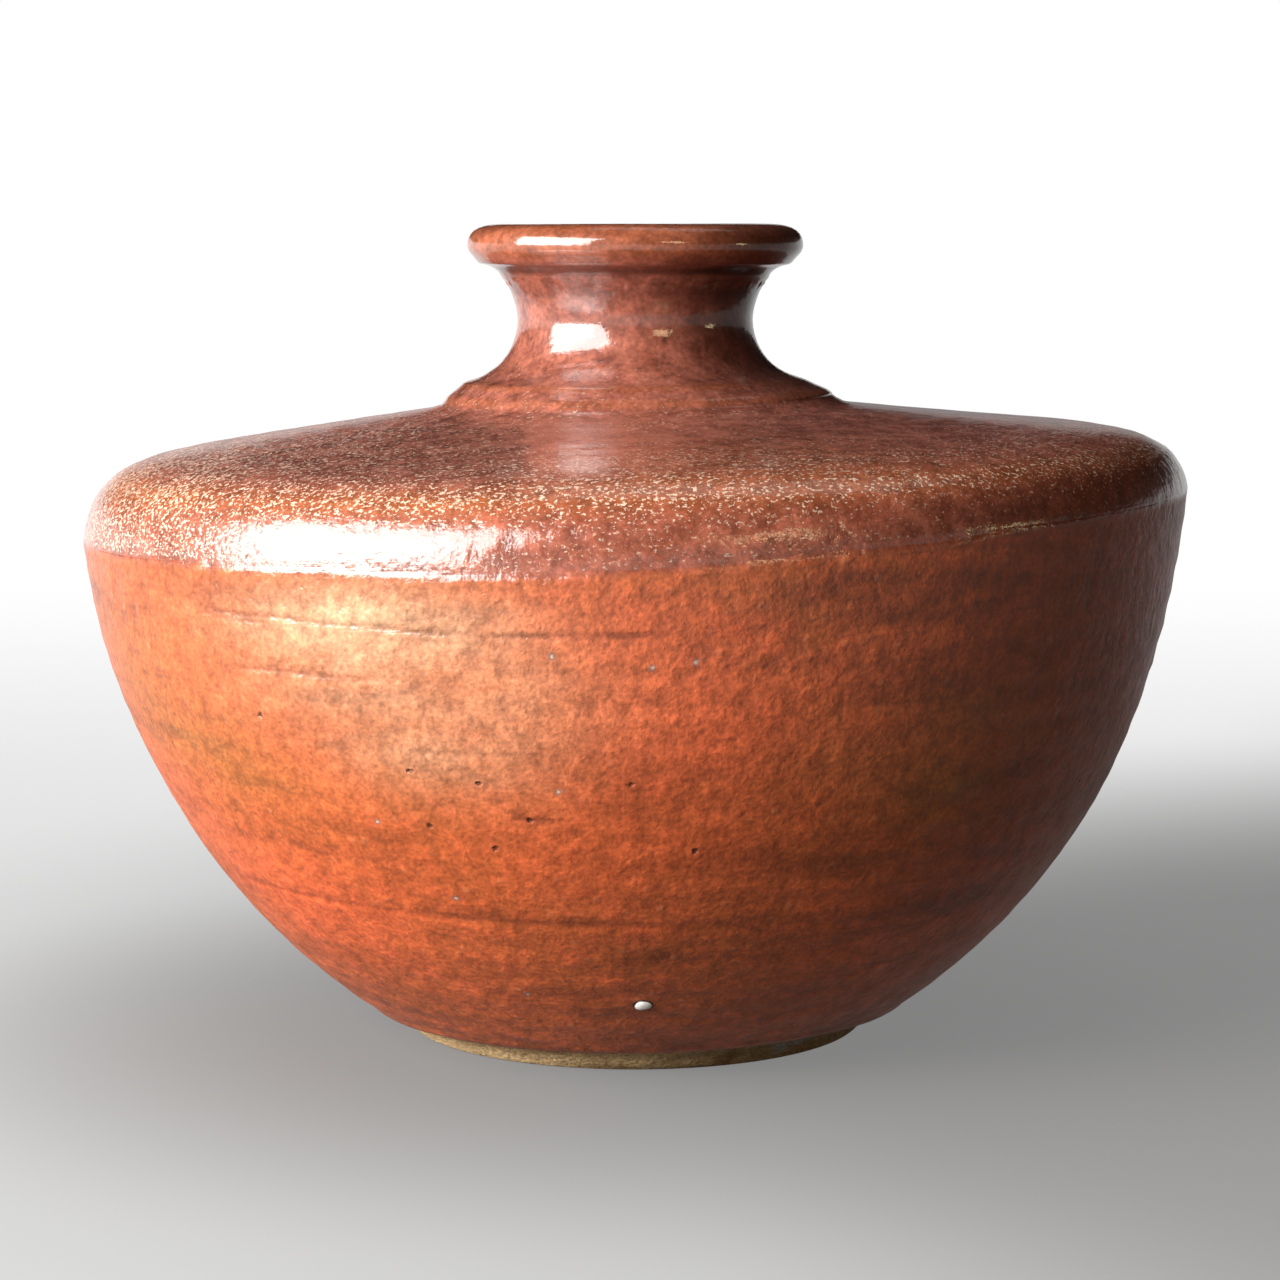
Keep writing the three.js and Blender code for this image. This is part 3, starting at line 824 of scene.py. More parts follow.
class VASE_OT_clay_sections(VaseOperator, bpy.types.Operator):
    """Throws the bowl, the shoulder and the neck"""

    bl_idname = "vase.clay_sections"
    bl_label = "Clay sections"

    ROWS, COLUMNS, SOFTNESS = 90, 128, 0.3 * MM
    BOWL_ROWS, BOWL_COLUMNS, BOWL_SOFTNESS, BOWL_BEND_PULL = 200, 420, 0.5 * MM, 2 * MM
    # Rows of the bowl crowd at the foot: length in mm past the foot edge, half width, pull
    FOOT_CROWDS = ((3, 8, 7.0), (-6, 9, 2.0))
    # Rings turned into the hollow: heights between which they appear, middle and margin left plain, pitch,
    # and how far they sway
    HOLLOW_HEIGHTS, HOLLOW_MIDDLE, HOLLOW_MARGIN = (1 * MM, 3 * MM), 6 * MM, (3 * MM, 1 * MM)
    TURNING_PITCH, TURNING_SWAY = 2.3 * MM, 0.7
    # Heights where the roughness of the foot starts, is full, begins to end and ends
    ROUGH_FOOT = (0.2 * MM, 1.2 * MM, 9 * MM, 12 * MM)
    # Smooth random values: cells round, spacing along, seed
    FINE_GRIT, COARSE_GRIT, COARSE_SHARE = (330, 0.9 * MM, 11), (160, 2.1 * MM, 12), 0.6
    DENTS, DENT_SHARE = (26, 5 * MM, 13), 2.5
    # Shelf wash: bearing and half width in degrees, height and half width, raggedness, and where it starts
    WASH_BEARING, WASH_HEIGHT, WASH_LIMITS = (36, 6), (5 * MM, 3 * MM), (0.25, 0.75)
    WASH_RAGS, WASH_RAGGED = (150, 2 * MM, 14), 0.8

    def execute(self, context):
        self.prepare(context.scene)
        section = self.section
        clay = stoneware_clay(self.colours)
        placed("thrown_bowl", self.bowl(), clay, "bowl_section")
        shoulder = joined(section.shoulder_outside, section.shoulder_inside)
        neck = joined(section.neck_outside, section.mouth, section.throat)
        for name, profile in (("shoulder_section", shoulder), ("neck_section", neck)):
            mesh = self.turned(name, profile, self.ROWS, self.COLUMNS, self.SOFTNESS)
            keep(mesh, "wash", np.zeros((len(mesh.vertices), 1)))
            placed(name.replace("_section", "_thrown"), mesh, clay, name)
        return {"FINISHED"}

    def bowl(self):
        """The bowl: its profile with the foot edge, carried round the axis and moved along its normals by
        the rings turned into the hollow, a sine of the radius, and by the grit and the soft dents of the
        foot, smooth random values."""
        section, form, marks = self.section, self.form, self.marks
        underside = section.underside.copy()
        underside[-1, 0] += form.foot_edge
        outside = joined(underside, section.belly[section.belly[:, 1] > form.foot_edge_rise])
        profile = eased(joined(outside, section.bowl_inside), self.BOWL_SOFTNESS)
        belly_start = arc_along(underside)[-1]
        crowds = [(belly_start + past * MM, reach * MM, pull) for past, reach, pull in self.FOOT_CROWDS]
        along = crowded_arcs(profile, self.BOWL_ROWS, self.BOWL_BEND_PULL, crowds)[:, None]
        radius, height = at_arcs(profile, along)
        outward, upward = at_arcs(profile, along, normals_of(profile))
        angles = angles_round(self.BOWL_COLUMNS)
        ring = form.foot_diameter / 2 - form.ring_width
        in_hollow = (along < belly_start) * smoothstep(height, *self.HOLLOW_HEIGHTS)
        margin = [ring - width for width in self.HOLLOW_MARGIN]
        in_hollow = in_hollow * band(radius, 0, self.HOLLOW_MIDDLE, *margin)
        on_foot = (along > belly_start) * (along < arc_along(outside)[-1]) * band(height, *self.ROUGH_FOOT)
        turning = np.sin(2 * np.pi * radius / self.TURNING_PITCH + self.TURNING_SWAY * np.sin(angles))
        grit = scatter(angles, along, *self.FINE_GRIT)
        grit = grit + self.COARSE_SHARE * scatter(angles, along, *self.COARSE_GRIT)
        dents = self.DENT_SHARE * scatter(angles, along, *self.DENTS)
        moved = in_hollow * marks.trimming_depth * turning + on_foot * marks.grit_height * (grit + dents)
        grid = carried_round(section, radius + moved * outward, height + moved * upward, angles)
        wash = bell(np.degrees(angles), *self.WASH_BEARING) * bell(height, *self.WASH_HEIGHT) * on_foot
        ragged = 1 + self.WASH_RAGGED * scatter(angles, along, *self.WASH_RAGS)
        wash = np.broadcast_to(smoothstep(wash * ragged, *self.WASH_LIMITS), grid.shape[:2])
        mesh = woven("bowl", grid, poles=True)
        keep(mesh, "wash", np.concatenate(([0.0], wash[1:-1].ravel(), [0.0]))[:, None])
        return mesh


class VASE_OT_slip_joints(VaseOperator, bpy.types.Operator):
    """Lays the rings of slip in the two joints"""

    bl_idname = "vase.slip_joints"
    bl_label = "Slip joints"

    ROWS, COLUMNS, SOFTNESS = 24, 128, 0.1 * MM
    CLOUD, DARKER = 4 * MM, 0.6

    def execute(self, context):
        self.prepare(context.scene)
        section = self.section
        # Luting slip, brushed on as a thick cream and fired: matt and greyish, and hidden under the glaze
        finish = {"Roughness": 0.9, "IOR": 1.5}
        slip = plain_fired("luting_slip", self.colours.slip, self.DARKER, self.CLOUD, finish)
        rings = {
            "bowl_joint_slip": (JOINT_INSIDE, BODY_RADIUS, section.joint_bottom, section.joint_top),
            "neck_joint_slip": (section.seat_inside, COLLAR_RADIUS, section.seat, section.neck_foot),
        }
        for name, (inside, outside, bottom, top) in rings.items():
            profile = np.array(((inside, bottom), (outside, bottom), (outside, top), (inside, top)))
            mesh = self.turned(name, profile, self.ROWS, self.COLUMNS, self.SOFTNESS)
            placed(name + "_ring", mesh, slip, name)
        return {"FINISHED"}


class VASE_OT_iron_glaze(VaseOperator, bpy.types.Operator):
    """Coats the outside in iron glaze, over the throwing marks"""

    bl_idname = "vase.iron_glaze"
    bl_label = "Iron glaze"

    OUTER_ROWS, RETURN_ROWS, COLUMNS = 208, 42, 384
    OUTER_BEND_PULL, RETURN_BEND_PULL = 3.5 * MM, 12 * MM
    CLAY_SOFTNESS, GLAZE_SOFTNESS = 0.5 * MM, 0.9 * MM
    WHEEL_RADIUS = 90 * MM

    # In these tables angles are in degrees from the front towards +X, and heights in mm before the lean.
    # Four angles are where a stretch starts, is full, begins to end and ends

    # Rows crowd at the marks: height, half width, pull
    CROWDS = (
        (103.0, 3.9, 2.6), (92.1, 1.8, 2.2), (63.0, 1.2, 2.0), (77.1, 1.4, 1.2), (40.2, 1.6, 1.6),
        (8.0, 6.0, 0.6), (113.4, 3.4, 1.8), (141.0, 5.0, 1.0), (167.0, 5.0, 1.6),
    )
    # The lower edge: angles where it climbs, share, cells and seed of its waver, how far up that reaches,
    # the share of the coat that it loses, over which lengths, and the roll above it
    LINE_CLIMB, LINE_VARIES, LINE_WAVER, LINE_REACH = (0, 48, 60, 130), 0.5, (17, 21), 30 * MM
    EDGE_LOSS, EDGE_LENGTHS, EDGE_ROLL = 0.8, (-0.3 * MM, 1.8 * MM), (2.4 * MM, 1.3 * MM, 0.3 * MM)
    # The arris at the widest ring: height, dip (angle, half width, depth), climb (angles, rise), waver
    ARRIS, ARRIS_DIP, ARRIS_FALL = 113.8, (-5, 24, 2.0), 4.5
    ARRIS_CLIMB, ARRIS_RISE, ARRIS_WAVER, ARRIS_CELLS = (15, 60, 100, 170), 1.6, 0.3, (48, 42)
    # Throwing rings: heights where they end, smooth random values (cells round, spacing along, seed) of
    # their drift, strength and fine lines, their sway, and shares of rings and fine lines
    BODY_TOP = (134, 138)
    RING_DRIFT, RING_STRENGTH, FINE_LINES = (9, 30 * MM, 31), (8, 21 * MM, 32), (5, 2.2 * MM, 33)
    RING_SWAY, RING_PHASE, DRIFT_REACH, RING_VARIES = 1.6 * MM, 0.6, 1.8 * MM, 0.55
    RING_SHARE, FINE_SHARE, FINE_DRIFT = 0.5, 0.3, 0.5
    WOBBLES, WOBBLE_SHARE = (6, 55 * MM, 34), 0.5
    # Grooves dragged round the belly: first angle and height, last angle and height, share of the depth
    GROOVES = (
        (-49, 105.4, -12, 100.9, 1.0), (-47, 104.2, -36, 102.6, 0.7), (-15, 101.1, 4, 100.0, 0.7),
        (-43, 92.9, -22, 91.3, 1.0), (-12.6, 63.1, -7.6, 62.9, 0.9), (-46, 77.4, -6, 76.8, 0.5),
        (-66, 40.8, 15, 39.6, 0.65), (96, 98.5, 141, 95.4, 0.9), (-158, 88.0, -118, 90.1, 0.8),
        (150, 61.0, 203, 62.4, 0.5), (55, 80.2, 84, 79.0, 0.4),
    )
    # Their ends as shares of the length, waver, unevenness, and the burr: half widths below, share
    GROOVE_ENDS, GROOVE_WAVER, GROOVE_CELLS = (0, 0.12, 0.8, 1.0), 0.3, (70, 35)
    GROOVE_VARIES, GROOVE_FIRMNESS, BURR_BELOW, BURR_SHARE = 0.22, (90, 38), 2.1, 0.3
    # Ridges on the collar and under the lip: height, half width, share of the ridge height
    RIDGES = (
        (140.0, 0.8, 0.5), (142.9, 0.7, 0.7), (145.2, 0.9, 0.4),
        (165.5, 0.9, 0.8), (168.9, 0.8, 1.0), (171.6, 0.9, 0.5),
    )
    RIDGE_WAVER, RIDGE_CELLS, RIDGE_SEED, RIDGE_WIDTH = 0.15, 11, 36, 0.7
    COLLAR_TOP, RIDGES_TOP = 146, 174
    # Slip smoothed into the collar: angle, half width, share there, half width up the wall
    SMOOTHED, SMOOTHED_SHARE, FILL_WIDTH = (85, 55), 0.7, 3.2 * MM
    # The bead under the lip: height and half width, its blisters, how many show, and its own share
    BEAD, BEAD_BLISTERS, BEAD_LIFT, BEAD_SHARE = (164.2, 0.8), (130, 1.1 * MM, 37), 0.1, 0.25
    # Patches that the flame flashed, that stayed olive, and the pale patches of painted sheen below the
    # highlight: angle, height, half widths, strength
    PATCHES = {
        "flashing": (
            (-46, 38, 18, 14, 0.9), (-1, 102, 9, 8, 0.5), (-70, 60, 10, 16, 0.4), (120, 55, 25, 20, 0.8),
            (-150, 70, 20, 18, 0.7), (175, 40, 18, 12, 0.6), (6, 82, 14, 16, 0.7), (-2, 55, 16, 14, 0.45),
        ),
        "ashing": (
            (-62, 84, 14, 20, 0.5), (-46, 70, 10, 9, 0.35), (34, 71, 13, 15, 0.5), (80, 50, 16, 14, 0.5),
            (-120, 48, 18, 14, 0.5),
        ),
        # Painted sheen: pale patches on the upper left of the belly, below the highlight
        "bloom": (
            (-27, 104, 14, 8, 0.7), (-28, 90, 14, 12, 0.34), (-14, 90, 12, 14, 0.2), (-19, 77, 12, 10, 0.3),
        ),
    }
    PATCHY, PATCH_VARIES, PATCH_BASE = (40, 9 * MM, 41), 0.3, 0.08
    # Pits and specks of ash: angle and height
    PITS = (
        (-40.5, 82.3), (-15.8, 70.5), (-15.2, 56.4), (-23.2, 72.5), (-22.2, 60.7), (-10.9, 62.8),
        (-0.4, 70.5), (6.4, 56.4), (100, 70), (135, 84), (-95, 77), (-140, 58), (165, 95), (60, 62),
        (-170, 80), (-118, 100),
    )
    SPECKS = (
        (-7.7, 96.6), (1.6, 94), (5.6, 94.6), (-7.6, 69.1), (-21.5, 44.8), (-16.2, 21.9), (-28.5, 60.7),
        (110, 88), (150, 66), (-110, 62), (-160, 92), (75, 96),
    )
    # The thick glaze: softness of its edge at the arris, heights where it thickens once more, share of that
    THICK_EDGE, THICKENS, THICKENS_SHARE = 0.8, (122, 129), 0.25
    # Flakes: how soon they start above the arris, their share all round, more on the lit left as painted
    # glints, and at the break
    FLAKES_START, FLAKES_ROUND, FLAKES_BREAK, FLAKES_VARY = 1.5, 0.7, (126, 4), 0.15
    FLAKES_LEFT, LEFT, LEFT_ENDS = 0.19, -70, (15, 50)
    # Fewer flakes below the break at the front, and fewer painted glints on the unlit right: angles, heights,
    # share that is lost
    BARE_FRONT, BARE_HEIGHTS, BARE_LOSS = (-25, -5, 150, 175), (119, 124), 0.4
    FEWER_RIGHT, FEWER_LOSS = (-10, 45, 115, 155), 0.26
    # Heights between which flakes thin out, and the share that is lost
    FLAKES_THIN = ((130, 135, 0.3), (136, 140, 0.4), (146, 150, 1.0))
    # Where the glaze breaks thin: height, half width, strength, and for the front its angle and half width
    EDGE_BREAK, EDGE_VARIES, COLLAR_BREAKS = (125.6, 2.4, 0.9), 0.25, ((139.4, 1.2, 0.35), (142.8, 0.8, 0.35))
    FRONT_BREAK, FRONT_ANGLES = (129.5, 4, 0.4), (12, 24)
    # The lip and the neck: heights where the break starts and is full, strength
    LIP_BREAK, LIP_SHARE, NECK_BREAK, NECK_SHARE = (168, 171), 0.45, (143, 147), 0.12
    # Where it pools: hollows (height, half width, strength) and grooves; and how much darker it is in the
    # mouth
    HOLLOWS = ((162.2, 1.6, 0.35), (167.2, 0.9, 0.6))
    GROOVE_POOL, GROOVE_POOL_WIDTH, MOUTH_POOL = 0.65, 1.2, 0.35
    # The right side, darkened by painted shade in the dark colour of glaze that pools, and duller: angles,
    # heights where that starts, share, and how much less on the shoulder
    RIGHT, RIGHT_HEIGHTS, RIGHT_POOL = (14, 54, 115, 155), (15, 60), 0.5
    SHOULDER_HEIGHTS, SHOULDER_LESS = (123, 131), 0.28
    # The same painted shade on the right of the neck: angles, heights where it starts, share
    NECK_RIGHT, NECK_HEIGHTS, NECK_POOL = (2, 42, 115, 155), (138, 146), 0.45
    # Gloss: at the foot, gained up the belly (heights), gained over the arris, lost on the sides of the
    # shoulder (angles, heights), and on the right above and below the arris
    GLOSS_FOOT, GLOSS_BELLY, GLOSS_HEIGHTS, GLOSS_SHOULDER, GLOSS_EDGE = 0.04, 0.4, (55, 110), 0.5, 0.5
    SIDE_LOSS, SIDE_ANGLES, SIDE_HEIGHTS, SIDE_TOP = 0.55, (25, 80), (124, 129), 138
    RIGHT_LOSS, BELOW_LOSS, BELOW_EDGE = 0.4, 0.4, 1

    def execute(self, context):
        self.prepare(context.scene)
        pits, specks = (
            [spot_on_glaze(self.section, turn, height * MM) for turn, height in spots]
            for spots in (self.PITS, self.SPECKS)
        )
        fleck = spot_on_glaze(self.section, FLECK_TURN, FLECK_HEIGHT)
        material = iron_glaze(self.colours, pits, specks, fleck, tuple(FLECK_SIZE[[0, 1, 1]]))
        placed("iron_glaze_coat", self.coat(), material, "outer_glaze")
        return {"FINISHED"}

    def coat(self):
        """The coat: the outer face of the clay offset by the glaze, softened and carried round the axis,
        then moved along its normals by the marks. The lower edge wavers and thins to a rolled rim, and the
        last rows go back down against the clay."""
        section = self.section
        wall = joined(section.belly, section.shoulder_outside, section.neck_outside, section.mouth)
        wall = wall[(wall[:, 1] > self.form.glaze_line) | (np.arange(len(wall)) > SWEEP_STEPS)]
        soft = eased(wall, self.CLAY_SOFTNESS)
        face = eased(soft + normals_of(soft) * GLAZE, self.GLAZE_SOFTNESS)
        gone = arc_along(face)
        crest = np.argmax(face[:, 1])
        self.corner = np.interp(SEAT_MIDDLE + GLAZE, face[:crest, 1], gone[:crest])
        crowds = [
            (np.interp(height * MM, face[:crest, 1], gone[:crest]), reach * MM, pull)
            for height, reach, pull in self.CROWDS
        ]
        angles = angles_round(self.COLUMNS)
        arcs = crowded_arcs(face, self.OUTER_ROWS, self.OUTER_BEND_PULL, crowds)[:, None]
        back = crowded_arcs(soft, self.RETURN_ROWS, self.RETURN_BEND_PULL)[::-1, None]
        along, back = (
            lengths + self.glaze_line(angles) * (1 - smoothstep(lengths, 0.0, self.LINE_REACH))
            for lengths in (arcs, back)
        )
        radius, height = at_arcs(face, along)
        outward, upward = at_arcs(face, along, normals_of(face))
        outside = along < gone[crest]
        moved = self.relief(angles, along, height, outside) + bells(arcs, (self.EDGE_ROLL,))
        moved = moved - self.EDGE_LOSS * GLAZE * (1 - smoothstep(arcs, *self.EDGE_LENGTHS))
        outer = carried_round(section, radius + moved * outward, height + moved * upward, angles)
        inner = carried_round(section, *at_arcs(soft, back), angles)
        mesh = woven("iron_glaze_coat", np.concatenate((outer, inner)))
        self.keep_masks(mesh, angles, along, height, outside)
        return mesh

    def glaze_line(self, angles):
        """How far the lower edge of the glaze lies above its lowest, along the wall: it climbs on the right
        and wavers by smooth random values."""
        climb = self.marks.line_rise * band(np.degrees(angles), *self.LINE_CLIMB)
        return climb + self.marks.line_waver * varied(self.LINE_VARIES, waver(angles, *self.LINE_WAVER))

    def border(self, angles):
        """The height in mm of the arris at the widest ring: it dips at the front, climbs on the right and
        wavers."""
        turn = np.degrees(angles)
        climb = self.ARRIS_RISE * band(turn, *self.ARRIS_CLIMB)
        wavers = self.ARRIS_WAVER * waver(angles, *self.ARRIS_CELLS)
        return self.ARRIS - bells(turn, (self.ARRIS_DIP,)) + climb + wavers

    def groove_cuts(self, angles, level):
        """Each dragged groove as (how much it is cut here, distance from its path in half widths): its path
        runs straight in angle and height and wavers, and it fades in and out at its ends."""
        turn = np.degrees(angles)
        wavers = self.GROOVE_WAVER * waver(angles, *self.GROOVE_CELLS)
        firmness = varied(self.GROOVE_VARIES, waver(angles, *self.GROOVE_FIRMNESS))
        for start, start_height, end, end_height, depth in self.GROOVES:
            share = np.mod(turn - start, 360) / (end - start)
            path = start_height + (end_height - start_height) * np.clip(share, 0, 1) + wavers
            cut = depth * band(share, *self.GROOVE_ENDS) * firmness
            yield cut, (level - path) * MM / self.marks.groove_width

    def relief(self, angles, along, height, outside):
        """The marks, as a distance along the normal: throwing rings (a sine along the wall whose phase
        drifts round the pot), a wobble, the arris at the widest ring (a peak that falls off evenly), dragged
        grooves (bell curves, each with a burr below it), the ridges of the collar and the lip, slip smoothed
        into the angle of the collar on the right, and the blistered bead."""
        marks = self.marks
        level = height / MM
        drift = self.RING_SWAY * np.sin(angles + self.RING_PHASE)
        drift = drift + self.DRIFT_REACH * scatter(angles, along, *self.RING_DRIFT)
        rings = np.sin(2 * np.pi * (along + drift) / marks.ring_spacing)
        rings = rings * varied(self.RING_VARIES, scatter(angles, along, *self.RING_STRENGTH))
        fine = scatter(angles, along + self.FINE_DRIFT * drift, *self.FINE_LINES)
        on_body = 1 - smoothstep(level, *self.BODY_TOP)
        moved = marks.ring_height * on_body * (self.RING_SHARE * rings + self.FINE_SHARE * fine)
        moved = moved + self.WOBBLE_SHARE * marks.wobble * scatter(angles, along, *self.WOBBLES)
        moved = moved + marks.arris_height * np.exp(-np.abs(level - self.border(angles)) / self.ARRIS_FALL)
        for cut, away in self.groove_cuts(angles, level):
            burr = self.BURR_SHARE * bell(away, -self.BURR_BELOW, 1)
            moved = moved - marks.groove_depth * cut * (bell(away, 0, 1) - burr)
        smoothed = varied(self.SMOOTHED_SHARE, bell(np.degrees(angles), *self.SMOOTHED))
        for ridge, half_width, share in self.RIDGES:
            middle = ridge + self.RIDGE_WAVER * waver(angles, self.RIDGE_CELLS, self.RIDGE_SEED + int(ridge))
            fading = 1 - smoothed if ridge < self.COLLAR_TOP else 1.0
            raised = share * fading * bell(level, middle, self.RIDGE_WIDTH * half_width)
            moved = moved + marks.ridge_height * raised * (outside & (level < self.RIDGES_TOP))
        moved = moved + marks.collar_fill * smoothed * bell(along, self.corner, self.FILL_WIDTH)
        blisters = np.clip(scatter(angles, along, *self.BEAD_BLISTERS) + self.BEAD_LIFT, 0, None)
        return moved + marks.bead_height * bell(level, *self.BEAD) * outside * (self.BEAD_SHARE + blisters)

    def flakes(self, level, turn, border, patchy):
        """How densely the pale flakes lie, partly real crystals and partly painted glints: over the arris,
        more on the lit left and at the break, fewer below it at the front and on the unlit right, and
        thinning out up the shoulder."""
        on_left = 1 - smoothstep(np.abs(apart(turn, self.LEFT)), *self.LEFT_ENDS)
        dense = np.maximum(self.FLAKES_ROUND + self.FLAKES_LEFT * on_left, bell(level, *self.FLAKES_BREAK))
        bare = band(turn, *self.BARE_FRONT) * (1 - smoothstep(level, *self.BARE_HEIGHTS))
        dense = dense * (1 - self.BARE_LOSS * bare) * (1 - self.FEWER_LOSS * band(turn, *self.FEWER_RIGHT))
        dense = dense * smoothstep(level, border, border + self.FLAKES_START)
        dense = dense * varied(self.FLAKES_VARY, patchy)
        for low, high, loss in self.FLAKES_THIN:
            dense = dense * (1 - loss * smoothstep(level, low, high))
        return dense

    def keep_masks(self, mesh, angles, along, height, outside):
        """Where the glaze differs, as masks on the points: its place on the wheel, the thick glaze of the
        shoulder and its flakes, partly painted glints, the edges it breaks over, the hollows where it pools
        and the right side darkened by painted shade, flashed and olive patches and pale patches of painted
        sheen, and gloss.
        The rows against the clay get 0."""
        level = height / MM
        turn = np.degrees(angles)
        patchy = scatter(angles, along, *self.PATCHY)
        border = self.border(angles)
        right = band(turn, *self.RIGHT)
        over = smoothstep(level, border - self.THICK_EDGE, border + self.THICK_EDGE)
        thicker = smoothstep(level, *self.THICKENS)
        thick = (1 - self.THICKENS_SHARE) * over + self.THICKENS_SHARE * thicker
        masks = {"shoulder": np.where(outside, thick, 1.0)}
        masks["speckle"] = self.flakes(level, turn, border, patchy)

        breaking = bells(level, (self.EDGE_BREAK,)) * varied(self.EDGE_VARIES, patchy)
        breaking = breaking + bells(level, (self.FRONT_BREAK,)) * bell(turn, *self.FRONT_ANGLES)
        lip = self.LIP_SHARE * smoothstep(level, *self.LIP_BREAK)
        neck = self.NECK_SHARE * smoothstep(level, *self.NECK_BREAK)
        breaking = breaking + bells(level, self.COLLAR_BREAKS) + np.maximum(lip, neck) * outside
        masks["breaking"] = np.clip(breaking, 0, 1)

        cuts = self.groove_cuts(angles, level)
        grooved = sum(cut * bell(away, 0, self.GROOVE_POOL_WIDTH) for cut, away in cuts)
        # Painted shade: the dark colour of glaze that pools, laid on the right of the body and of the neck,
        # less on the shoulder
        thicker = self.RIGHT_POOL - self.SHOULDER_LESS * smoothstep(level, *self.SHOULDER_HEIGHTS)
        thicker = thicker * right * smoothstep(level, *self.RIGHT_HEIGHTS)
        neck_right = band(turn, *self.NECK_RIGHT) * smoothstep(level, *self.NECK_HEIGHTS)
        pooling = bells(level, self.HOLLOWS) + self.GROOVE_POOL * grooved
        pooling = pooling + thicker + self.NECK_POOL * neck_right
        masks["pooling"] = np.clip(pooling * outside + self.MOUTH_POOL * ~outside, 0, 1)

        for name, patches in self.PATCHES.items():
            masks[name] = self.PATCH_BASE * (1 + patchy) * (name != "bloom")
            for bearing, middle, half_angle, half_height, strength in patches:
                patch = bell(apart(turn, bearing), 0, half_angle) * bell(level, middle, half_height)
                masks[name] = masks[name] + strength * patch * (1 + self.PATCH_VARIES * patchy)

        gloss = self.GLOSS_FOOT + self.GLOSS_BELLY * smoothstep(level, *self.GLOSS_HEIGHTS)
        over = smoothstep(level, border - self.GLOSS_EDGE, border + self.GLOSS_EDGE)
        aside = smoothstep(np.abs(turn), *self.SIDE_ANGLES) * smoothstep(level, *self.SIDE_HEIGHTS)
        gloss = gloss + self.GLOSS_SHOULDER * over - self.SIDE_LOSS * aside * (level < self.SIDE_TOP)
        below = 1 - smoothstep(level, border - self.BELOW_EDGE, border)
        duller = (self.RIGHT_LOSS + self.BELOW_LOSS * below) * right
        masks["gloss"] = np.clip(gloss, 0, 1) * (1 - duller)

        hidden = len(mesh.vertices) - along.size
        for name in GLAZE_MASKS:
            values = np.broadcast_to(masks[name], along.shape).ravel()
            keep(mesh, name, np.append(values, np.zeros(hidden))[:, None])
        wheel = np.stack(np.broadcast_arrays(
            self.WHEEL_RADIUS * np.cos(angles), self.WHEEL_RADIUS * np.sin(angles), along
        ), axis=-1)
        keep(mesh, "wheel", np.vstack((wheel.reshape(-1, 3), np.zeros((hidden, 3)))))


class VASE_OT_liner_glaze(VaseOperator, bpy.types.Operator):
    """Coats the inside in liner glaze"""

    bl_idname = "vase.liner_glaze"
    bl_label = "Liner glaze"

    ROWS, COLUMNS, SOFTNESS, WALL_SOFTNESS = 220, 160, 0.3 * MM, 0.8 * MM
    CLOUD, DARKER = 14 * MM, 0.55

    def execute(self, context):
        self.prepare(context.scene)
        section = self.section
        wall = joined(section.throat, section.shoulder_inside, section.bowl_inside)
        soft = eased(wall, self.WALL_SOFTNESS)
        face = soft + normals_of(soft) * self.form.liner_thickness
        face[-1, 0] = 0.0
        profile = joined(wall[::-1], face)
        mesh = self.turned("liner_glaze", profile, self.ROWS, self.COLUMNS, self.SOFTNESS, poles=True)
        # Liner glaze, swilled round and poured out: a dark brown gloss that shows only in the mouth
        finish = {"Roughness": 0.16, "IOR": 1.52}
        brown = plain_fired("liner_glaze", self.colours.liner_brown, self.DARKER, self.CLOUD, finish)
        placed("liner_glaze_coat", mesh, brown, "liner_glaze")
        return {"FINISHED"}


# The fleck: angle in degrees, height before the lean, and half sizes across, up and out of the wall
FLECK_TURN = 1.2
FLECK_HEIGHT = 19.9 * MM
FLECK_SIZE = np.array((1.65, 1.4, 0.65)) * MM


def spot_on_glaze(section, turn, height):
    """The point of the glazed belly at an angle in degrees and a height before the lean."""
    face = section.belly + normals_of(section.belly) * GLAZE
    radius = np.interp(height, face[:, 1], face[:, 0])
    return carried_round(section, radius, np.float64(height), np.radians(turn)).tolist()


class VASE_OT_feldspar_fleck(VaseOperator, bpy.types.Operator):
    """Sets the white fleck of feldspar that melted through the glaze near the foot"""

    bl_idname = "vase.feldspar_fleck"
    bl_label = "Feldspar fleck"

    ROWS, COLUMNS = 25, 48
    # Sines that make its outline uneven: waves round, phase, height
    UNEVEN = ((2, 0.4, 0.09), (3, 1.9, 0.07))
    PROUD = 0.1 * MM
    CLOUD, DARKER = 1 * MM, 0.85

    def execute(self, context):
        self.prepare(context.scene)
        # Feldspar, a grain of the clay melted to a bead: white and glassy
        finish = {"Roughness": 0.3, "IOR": 1.5}
        white = plain_fired("feldspar", self.colours.feldspar, self.DARKER, self.CLOUD, finish)
        placed("feldspar_fleck", self.fleck(), white)
        return {"FINISHED"}

    def fleck(self):
        """A flat pebble: a unit ball, its outline made uneven by two slow sines of the angle, stretched by
        the half sizes and turned so that its short axis stands on the wall."""
        middle = spot_on_glaze(self.section, FLECK_TURN, FLECK_HEIGHT)
        latitude = np.linspace(-np.pi / 2, np.pi / 2, self.ROWS)[:, None]
        turn = angles_round(self.COLUMNS)
        uneven = 1 + sum(rise * np.sin(waves * turn + at) for waves, at, rise in self.UNEVEN)
        flat = np.cos(latitude) * uneven
        ball = np.stack(np.broadcast_arrays(
            flat * np.cos(turn), flat * np.sin(turn), np.sin(latitude)
        ), axis=-1) * FLECK_SIZE
        belly = self.section.belly
        normal = normals_of(belly)[np.argmin(np.abs(belly[:, 1] - FLECK_HEIGHT))]
        out = np.array((0.0, -normal[0], normal[1]))
        across = np.array((1.0, 0.0, 0.0))
        up_wall = np.cross(out, across)
        grid = ball @ np.stack((across, up_wall, out)) + np.array(middle) + out * self.PROUD
        return woven("feldspar_fleck", grid, poles=True)


# Studio


